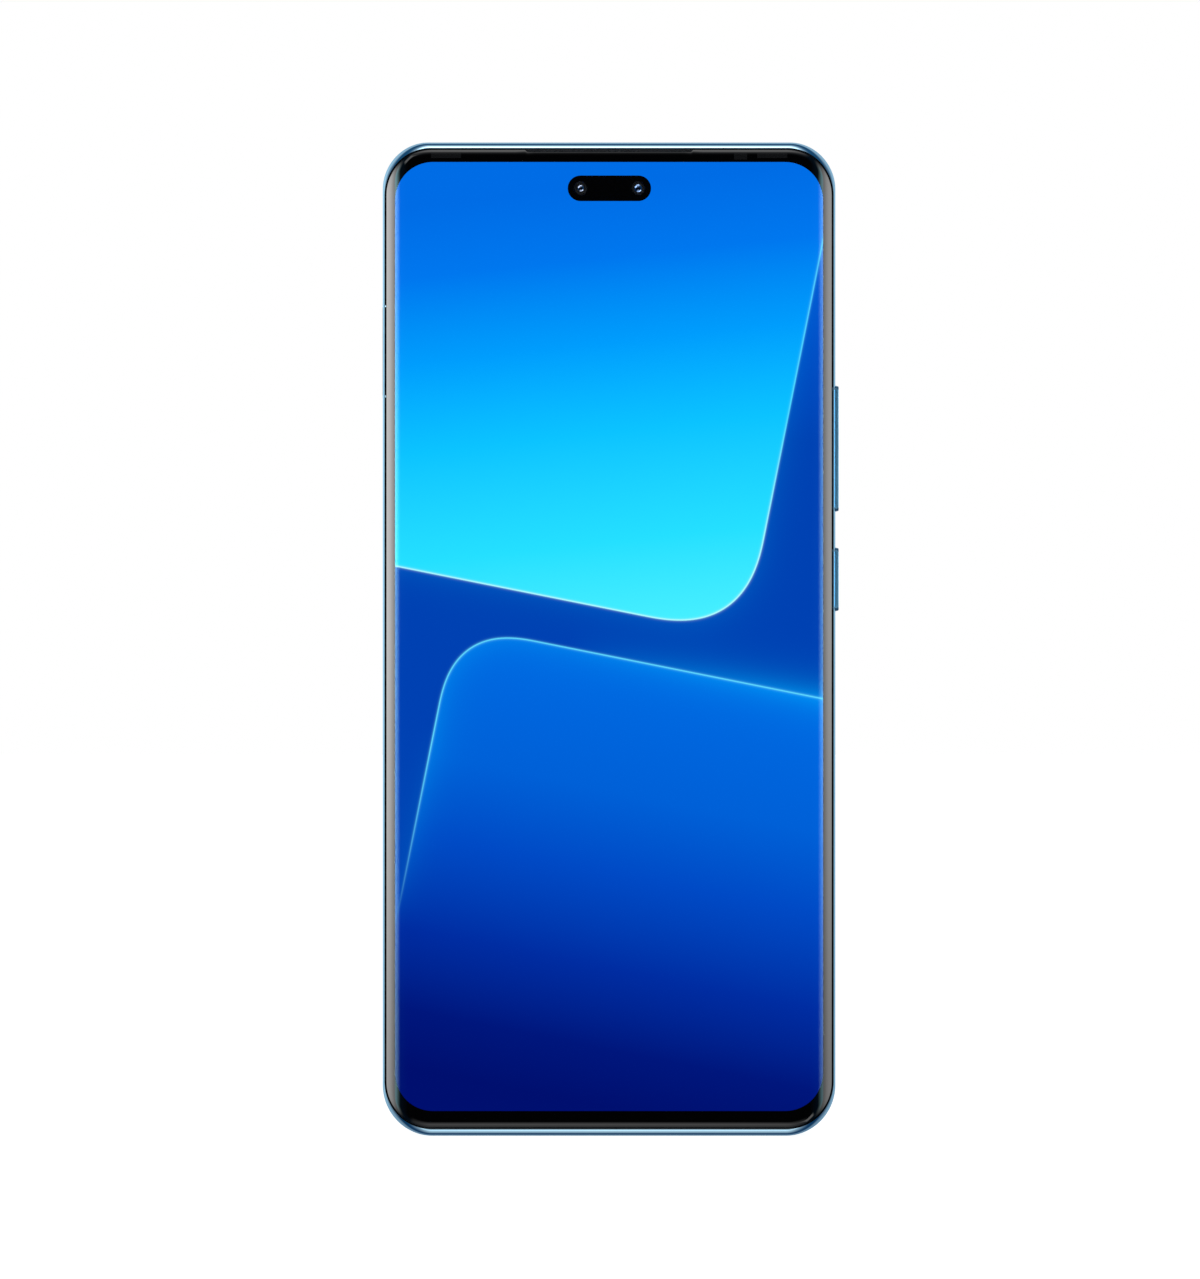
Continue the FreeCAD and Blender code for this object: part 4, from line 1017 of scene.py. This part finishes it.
def lathe(name, profile, centre, materials, segments=96, kinds=None):
    """Turned piece about the Y direction through centre, from a profile of (radius, y).
    Kinds gives one material index for each stretch of the profile."""
    rings = []
    for radius, y in profile:
        ring = []
        for step in range(segments):
            turn = 2 * math.pi * step / segments
            ring.append((centre[0] + radius * math.cos(turn), y, centre[1] + radius * math.sin(turn)))
        rings.append(ring)
    points, faces = bridge(rings)
    face_kinds = None
    if kinds:
        face_kinds = [kind for kind in kinds for _ in range(segments)]
    obj = make_object(name, points, faces, materials, face_kinds)
    work = bmesh.new()
    work.from_mesh(obj.data)
    bmesh.ops.remove_doubles(work, verts=work.verts, dist=1e-7)
    work.to_mesh(obj.data)
    work.free()
    tidy_normals(obj.data)
    return obj


def dome(radius, y_rim, rise, steps=10):
    """Profile of a shallow dome from its axis to its rim; rise points away from y_rim."""
    sphere = (radius ** 2 + rise ** 2) / (2 * abs(rise))
    sign = 1 if rise > 0 else -1
    profile = []
    for step in range(steps + 1):
        r = radius * step / steps
        profile.append((r, y_rim + rise - sign * (sphere - math.sqrt(sphere ** 2 - r ** 2))))
    return profile


def build_pill(pill_shade):
    """Black pill round the two front cameras, just under the cover glass; its black is partly the cameras'
    dark surround and partly painted shade for the hole in the display.
    """
    (x, z), (width, height) = PILL_CENTRE, PILL_SIZE
    radius = height / 2 - SLIVER
    places = outline(width / 2, z - height / 2, z + height / 2, radius, radius, x, steps=24)
    rings = [[(place[0], y, place[1]) for place in places] for y in PILL_Y]
    return finished(capped("pill_window", rings, [pill_shade]), "phone", "cover_glass")


def build_front_lens(name, centre, lens_radius, ring_material, dark_material, lens_material):
    """Front camera as seen in the pill: faint ring, black cone and a small domed lens."""
    top = INK_Y - 0.02
    ring_steps = [(0.98, 0.0), (0.98, 0.03), (1.03, 0.06), (1.08, 0.06), (1.13, 0.03), (1.13, 0.0)]
    cone_steps = [(0.0, 0.005), (0.7, 0.01), (0.96, 0.035), (0.98, 0.02), (0.98, 0.0)]
    for part, steps, material in (("_ring", ring_steps, ring_material), ("_cone", cone_steps, dark_material)):
        turned = lathe(name + part, [(radius, top - rise) for radius, rise in steps], centre, [material])
        finished(turned, "phone", "camera_black")
    profile = dome(lens_radius, top - 0.02, -FRONT_LENS_RISE * lens_radius)
    profile.append((lens_radius, top - 0.005))
    lens = lathe(name + "_lens", profile, centre, [lens_material])
    finished(lens, "phone", "lens_glass")


def sensor_windows():
    """Centre and size of the faint windows in the top border: two sensors and a fill light, which
    mirrors the first sensor."""
    windows = []
    for node, side in (("proximity_sensor", 1), ("ambient_sensor", 1), ("proximity_sensor", -1)):
        low, high = box_mm(node)
        centre = (side * (low.x + high.x) / 2, (low.z + high.z) / 2)
        windows.append((centre, (high.x - low.x, high.z - low.z)))
    return windows


# ---- Back camera island -----------------------------------------------------------------------

def back_lenses():
    return [(MAIN_LENS, BIG_RING), (WIDE_LENS, BIG_RING), (MACRO_LENS, SMALL_RING)]


def lens_cutters(name):
    """Round bars along Y that cut the seats of the three lens rings and the flash."""
    cutters = []
    for index, (place, radius) in enumerate(back_lenses() + [(FLASH, FLASH_RADIUS)]):
        reach = radius - RING_CLEARANCE
        profile = [(0, 1), (reach, 1), (reach, 9), (0, 9)]
        cutters.append(lathe("%s_%d" % (name, index), profile, place, []))
    return cutters


def build_island(material):
    """Raised island with a rounded rim and a fine step at its foot."""
    half_width = (island_high.x - island_low.x) / 2
    centre_x = (island_high.x + island_low.x) / 2
    base, top = HALF_THICKNESS - 0.02, island_high.y
    foot = ISLAND_FOOT_STEP
    levels = [(0.0, base), (0.0, base + 0.12), (foot, base + 0.2), (foot, top - ISLAND_EDGE)]
    for step in range(1, ISLAND_EDGE_STEPS + 1):
        turn = math.radians(90 * step / ISLAND_EDGE_STEPS)
        height = top - ISLAND_EDGE + ISLAND_EDGE * math.sin(turn)
        levels.append((foot + ISLAND_EDGE * (1 - math.cos(turn)), height))
    rings = []
    for inset, y in levels:
        radius = ISLAND_CORNER_RADIUS - inset
        ring = outline(half_width - inset, island_low.z + inset, island_high.z - inset, radius, radius,
                       centre_x)
        rings.append([(x, y, z) for x, z, _, _ in ring])
    island = capped("island_shell", rings, [material])
    subtract(island, lens_cutters("cut_seat"))
    return finished(island, "phone", "island_metal", "camera_island")


def ring_profile(radius, low, high):
    """Turned lens ring: outer bevel, flat, groove and an inner bevel down to the window."""
    outer = radius - RING_CLEARANCE
    inner = radius - RING_WIDTH
    groove = 0.06 if radius == BIG_RING else 0.03
    flat = [(0.4, 0.0), (0.5, 0.0), (0.55, groove), (0.6, 0.0), (0.8, 0.02)]
    return [
        (outer, low), (outer, high - 0.28), (radius - 0.08, high - 0.12), (radius - 0.25, high - 0.02),
        *[(radius - share * RING_WIDTH, high - drop) for share, drop in flat],
        (inner, high - 0.2), (inner, low), (outer, low),
    ]


def build_rings(material):
    """The three metal lens rings, in one piece as in the solid model."""
    parts = []
    for index, (place, radius) in enumerate(back_lenses()):
        profile = ring_profile(radius, HALF_THICKNESS - 0.5, rings_high.y)
        parts.append(lathe("ring_%d" % index, profile, place, [material], BACK_LENS_SEGMENTS))
    rings = merge("lens_rings", parts)
    return finished(rings, "phone", "ring_metal", "camera_rings")


def merge(name, parts):
    """Makes one piece of several and removes them."""
    work = bmesh.new()
    mesh = bpy.data.meshes.new(name)
    for material in parts[0].data.materials:
        mesh.materials.append(material)
    for part in parts:
        work.from_mesh(part.data)
        bpy.data.objects.remove(part)
    work.to_mesh(mesh)
    work.free()
    obj = bpy.data.objects.new(name, mesh)
    bpy.context.scene.collection.objects.link(obj)
    tidy_normals(mesh)
    return obj


def build_windows(material):
    """The three windows inside the lens rings, with a fine bevel, in one piece."""
    outside = rings_high.y - WINDOW_SINK
    inside = outside - WINDOW_THICKNESS
    bevel = 0.08
    parts = []
    for index, (place, ring_radius) in enumerate(back_lenses()):
        radius = ring_radius - RING_WIDTH - 0.01
        profile = [(0, inside), (radius, inside), (radius, outside - bevel), (radius - bevel, outside),
                   (0, outside)]
        parts.append(lathe("window_%d" % index, profile, place, [material], BACK_LENS_SEGMENTS))
    windows = merge("lens_windows", parts)
    return finished(windows, "phone", "lens_glass", "camera_windows")


BARREL_WALL = 0.25
BAFFLE_DROP = 0.12
APERTURE_SHARE = 0.48


def lens_stack(name, place, outer, base, top, materials):
    """Lens barrel seen through its window: stepped black baffles round a domed front element."""
    radius, y = outer - BARREL_WALL, top
    profile = [(outer, base), (outer, top), (radius, top)]
    steps = 4 if outer > 3 else 2
    baffle_width = (radius - outer * APERTURE_SHARE) / steps
    for _ in range(steps):
        y -= BAFFLE_DROP
        profile.append((radius, y))
        radius -= baffle_width
        profile.append((radius, y))
    y -= 0.05
    profile.append((radius, y))
    element = dome(radius, y, 0.25 * radius)
    kinds = [0] * (len(profile) - 1) + [1] * len(element)
    return lathe(name, profile + element[::-1], place, materials, BACK_LENS_SEGMENTS, kinds)


def build_lens_stacks(baffle, lens_violet, lens_green):
    """Lens barrels behind the three windows, and the black shades round them."""
    low, high = box_mm("main_camera_lens")
    main = lens_stack("main_lens_barrel", MAIN_LENS, high.x - MAIN_LENS[0], low.y, high.y - 0.1,
                      [baffle, lens_violet])
    finished(main, "autofocus_lens", "camera_black", "main_camera_lens")
    base, top = 3.05, rings_high.y - WINDOW_SINK - WINDOW_THICKNESS - WINDOW_CLEARANCE
    wide = lens_stack("wide_lens_barrel", WIDE_LENS, 3.75, base, top, [baffle, lens_green])
    finished(wide, "phone", "camera_black")
    macro = lens_stack("macro_lens_barrel", MACRO_LENS, 1.65, base, top, [baffle, lens_violet])
    finished(macro, "phone", "camera_black")
    shades = [("main_shade", MAIN_LENS, 4.45, 5.88), ("wide_shade", WIDE_LENS, 3.85, 5.88),
              ("macro_shade", MACRO_LENS, 1.72, 1.98)]
    for name, place, inner, outer in shades:
        lip = inner + 0.3 * (outer - inner)
        profile = [(inner, 3.2), (inner, 3.5), (lip, 3.55), (outer, 4.1), (outer, 3.2), (inner, 3.2)]
        shade = lathe(name, profile, place, [baffle], BACK_LENS_SEGMENTS)
        finished(shade, "phone", "camera_black")


def build_flash(material):
    """Milky flash lens with a bevelled, slightly domed face."""
    base, top = HALF_THICKNESS - 0.5, island_high.y + 0.05
    radius = FLASH_RADIUS - 0.03
    face = radius - FLASH_BEVEL
    profile = [(0, base), (radius, base), (radius, top - FLASH_BEVEL)] + dome(face, top, 0.08)[::-1]
    flash = lathe("flash_cap", profile, FLASH, [material])
    return finished(flash, "phone", "flash_diffuser", "flash_lens")


# ---- Stage, light and camera ------------------------------------------------------------------

FLOOR_HALF_SIZE = 3000.0


def build_floor():
    """Plain pale floor that the phone stands on."""
    shader = Shader("floor")
    grain = shader.noise(0.02, 2.0)
    colour = shader.mix(grain, (0.40, 0.40, 0.40, 1.0), (0.41, 0.41, 0.41, 1.0))
    shader.principled(colour, 0.9, Specular_IOR_Level=0.0, Emission_Strength=0.9,
                      Emission_Color=(1.0, 1.0, 1.0, 1.0))
    reach = FLOOR_HALF_SIZE
    corners = [(-reach, -reach, 0), (reach, -reach, 0), (reach, reach, 0), (-reach, reach, 0)]
    floor = make_object("floor", corners, [(0, 1, 2, 3)], [shader.material])
    floor.visible_glossy = False


class WorldLight(Shader):
    """The studio's light as a function of direction."""

    def __init__(self):
        world = bpy.data.worlds.new("studio")
        bpy.context.scene.world = world
        world.use_nodes = True
        self.tree = world.node_tree
        self.tree.nodes.clear()
        self.output = self.tree.nodes.new("ShaderNodeOutputWorld")
        self.material = None


SIDE_LEVEL = 11.7
STRIP_LEVEL = 3.3
SOFT_BOX_LEVEL = 2.2
SIDE_FOCUS = 12.0
STRIP_FOCUS = 8.0


def build_world():
    """Studio seen by reflections: tall soft boxes left and right, strips above and below, two small
    soft boxes near the camera, a pale wall behind, and deep blue dusk between them.
    Rays straight from the camera see plain white."""
    world = WorldLight()
    split = world.node("SeparateXYZ")
    world.put(split.inputs[0], world.node("TexCoord").outputs["Generated"])
    x, y, z = [Value(world, output) for output in split.outputs]
    from_front = world.math("ARCCOSINE", y * -1.0) / math.pi
    across = x * x / (x * x + z * z + 1e-5)
    above = world.math("GREATER_THAN", z, 0.0)
    dimmer_below = world.math("MINIMUM", world.math("MAXIMUM", z * 5.0 + 1.0, 0.62), 1.0)

    def profile(stops):
        """Level by the angle from the camera's side, in degrees."""
        return world.ramp(from_front, [(degrees / 180, grey(value)) for degrees, value in stops])

    # Soft boxes left and right: brighter on the left, dimmer below, bluish towards the camera.
    sides = profile([(33, 0.0), (36, 0.11), (40.5, 0.44), (45, 0.84), (49, 0.54), (52, 0.6), (58, 0.85),
                     (64, 1.0), (80, 1.0), (84, 0.0)])
    at_the_sides = across ** SIDE_FOCUS
    side_light = sides * SIDE_LEVEL * (x * -0.215 + 0.785) * dimmer_below * at_the_sides
    side_tint = world.ramp(from_front, [(45 / 180, (0.36, 0.87, 1.0, 1.0)), (50 / 180, grey(1.0))])
    side_tint = world.mix(at_the_sides, grey(1.0), side_tint)

    # Strips above and below.
    strip_above = profile([(5, 0.0), (14, 0.02), (21, 0.07), (28, 0.33), (36, 1.0), (45, 0.45),
                           (51, 0.33), (62, 0.15), (74, 0.03), (85, 0.0)])
    strip_below = profile([(6, 0.0), (12, 0.18), (25, 0.45), (35, 0.25), (57, 0.15), (75, 0.03), (88, 0.0)])
    strip_light = world.mix(above, strip_below, strip_above) * STRIP_LEVEL * (1.0 - across) ** STRIP_FOCUS

    # Pale wall behind, brighter above and to the left.
    wall_above_below, wall_beside = profile([(99, 0.0), (117, 1.0)]), profile([(114, 0.0), (134, 1.0)])
    wall_level = z * 0.2 + 0.46 + across * across * (x * -0.28 + 0.32) * dimmer_below
    wall = world.mix(across * across, wall_above_below, wall_beside) * wall_level

    # Two small soft boxes near the camera, on one diagonal.
    diagonal = abs((z - x) * math.sqrt(0.5))
    sideways = abs((z + x) * math.sqrt(0.5))
    box_length = world.ramp(sideways, [(0.13, grey(1.0)), (0.2, grey(0.0))])
    box_width = world.ramp(diagonal, [(0.31, grey(0.0)), (0.36, grey(1.0)), (0.48, grey(1.0)),
                                      (0.54, grey(0.0))])
    boxes = box_length * box_width * world.math("LESS_THAN", y, 0.0) * SOFT_BOX_LEVEL

    total = side_light + strip_light + (wall + boxes)
    dusk = world.mix(above, (0.005, 0.049, 0.113, 1.0), (0.016, 0.082, 0.160, 1.0))
    dusk = world.mix(profile([(14, 1.0), (30, 0.0)]), dusk, (0.0005, 0.001, 0.002, 1.0))
    room = world.node("Background")
    world.put(room.inputs["Color"], world.mix(total.clamped(), dusk, side_tint))
    world.put(room.inputs["Strength"], world.math("MAXIMUM", total, 1.0))
    seen = world.node("Background")
    seen.inputs["Color"].default_value = grey(1.0)
    seen.inputs["Strength"].default_value = 1.0
    mixed = world.node("MixShader")
    world.put(mixed.inputs[0], world.node("LightPath").outputs["Is Camera Ray"])
    world.put(mixed.inputs[1], room.outputs[0])
    world.put(mixed.inputs[2], seen.outputs[0])
    world.finish(mixed.outputs[0])


def build_camera():
    """Long lens straight at the screen, with the view's height at the front face as given."""
    data = bpy.data.cameras.new("view")
    data.lens = CAMERA_LENS
    data.sensor_width = SENSOR
    data.clip_start, data.clip_end = 0.01, 100
    distance = CAMERA_LENS / SENSOR * FRAME_HEIGHT
    camera = bpy.data.objects.new("view", data)
    camera.location = Vector((CAMERA_X, -HALF_THICKNESS - distance, CAMERA_Z)) * MM
    camera.rotation_euler = (math.radians(90), 0, 0)
    bpy.context.scene.collection.objects.link(camera)
    bpy.context.scene.camera = camera


# ---- Finishes for the solid model's own pieces ------------------------------------------------

def finish_node(node, material):
    """Gives a piece of the solid model its material."""
    materials = frame["nodes"][node].data.materials
    materials.clear()
    materials.append(material)


def dress_inner_pieces(metal):
    """Material of every piece of the solid model that shows as it is, by its finish in the record."""
    black = fine_plastic("black_plastic", (0.012, 0.012, 0.014, 1.0))
    steel = brushed_metal("tin_plate", (0.62, 0.62, 0.60, 1.0))
    spring = brushed_metal("rolled_spring", (0.55, 0.55, 0.56, 1.0), (12, 1, 1))
    plated = brushed_metal("port_plate", (0.50, 0.51, 0.53, 1.0))
    tungsten = brushed_metal("sintered_mass", (0.22, 0.22, 0.23, 1.0))
    board = circuit_board()
    amber = ribbon()
    mesh = speaker_mesh()
    filter_glass = fine_plastic("filter_glass", (0.006, 0.006, 0.008, 1.0), 0.2)
    adhesive = fine_plastic("black_foam", (0.008, 0.008, 0.008, 1.0), 0.8, 4.0)
    film = fine_plastic("diaphragm", (0.06, 0.06, 0.07, 1.0), 0.35)
    seal = fine_plastic("seal_rubber_red", (0.10, 0.012, 0.008, 1.0), 0.6)
    looks = {
        "black_plastic": black, "camera_black": black, "shield_steel": steel, "spring_steel": spring,
        "port_steel": plated, "dense_metal": tungsten, "circuit_board": board, "orange_ribbon": amber,
        "dark_mesh": mesh, "sensor_glass": filter_glass, "black_adhesive": adhesive, "diaphragm_film": film,
        "seal_rubber": seal, "battery_foil": battery_wrap(), "frame_metal": metal,
        "graphite": fine_plastic("graphite_film", (0.02, 0.02, 0.022, 1.0), 0.4, 2.0),
        "thermal_pad": fine_plastic("soft_pad", (0.16, 0.19, 0.23, 1.0), 0.7, 3.0),
        "copper_coil": brushed_metal("copper_film", (0.80, 0.36, 0.20, 1.0)),
        "screw_steel": brushed_metal("screw_plate", (0.45, 0.45, 0.47, 1.0)),
        "infrared_window": fine_plastic("infrared_filter", (0.02, 0.002, 0.004, 1.0), 0.15),
        "led_phosphor": fine_plastic("phosphor", (0.75, 0.50, 0.06, 1.0), 0.5, 6.0),
    }
    for part in frame["record"]["subparts"]:
        if part["material_slot"] in looks:
            finish_node(part["node"], looks[part["material_slot"]])


# ---- Build ------------------------------------------------------------------------------------

def build_all():
    build_camera()
    build_world()
    build_floor()
    metal = polished_frame()
    # Black of the pill: partly the front cameras' dark surround, partly painted shade.
    pill_shade = pill_black_shade()
    dress_inner_pieces(metal)
    # Black lining of the glass seats: foam, and painted shade in the gap round each glass.
    build_frame(metal, fine_plastic("seat_foam_and_gap_shade", (0.003, 0.003, 0.004, 1.0), 0.7))
    key_metal = satin_metal("key_satin", (0.17, 0.38, 0.54, 1.0), 0.30, 0.40)
    build_key("power_button", key_metal)
    build_key("volume_rocker", key_metal)
    build_front_glass(black_glass(sensor_windows()), clear_glass(), open_face())
    build_display(lit_display(), fine_plastic("panel_back", (0.02, 0.02, 0.022, 1.0)))
    build_pill(pill_shade)

    lens_ring = satin_metal("front_lens_ring", (0.022, 0.022, 0.026, 1.0))
    baffle = fine_plastic("lens_baffle", (0.004, 0.004, 0.005, 1.0), 0.35)
    violet = coated_lens("lens_violet", (0.05, 0.05, 0.30, 1.0))
    green = coated_lens("lens_green", (0.02, 0.16, 0.14, 1.0))
    left = (PILL_CENTRE[0] - FRONT_LENS_OFFSET, PILL_CENTRE[1])
    right = (PILL_CENTRE[0] + FRONT_LENS_OFFSET, PILL_CENTRE[1])
    warm_lens = mirror_lens("front_lens_warm", (0.85, 0.95, 0.80, 1.0), (0.50, 0.60, 0.85, 1.0))
    cool_lens = mirror_lens("front_lens_cool", (0.60, 0.85, 1.00, 1.0), (0.35, 0.55, 0.95, 1.0))
    build_front_lens("front_left", left, 0.5, lens_ring, baffle, warm_lens)
    build_front_lens("front_right", right, 0.6, lens_ring, baffle, cool_lens)

    island_metal = satin_metal("island_satin", (0.46, 0.70, 0.88, 1.0))
    build_back_glass(glass_back())
    build_island(island_metal)
    build_rings(metal)
    build_windows(window_glass())
    build_lens_stacks(baffle, violet, green)
    build_flash(flash_plastic())
    bpy.context.scene.view_settings.view_transform = "Standard"


build_all()
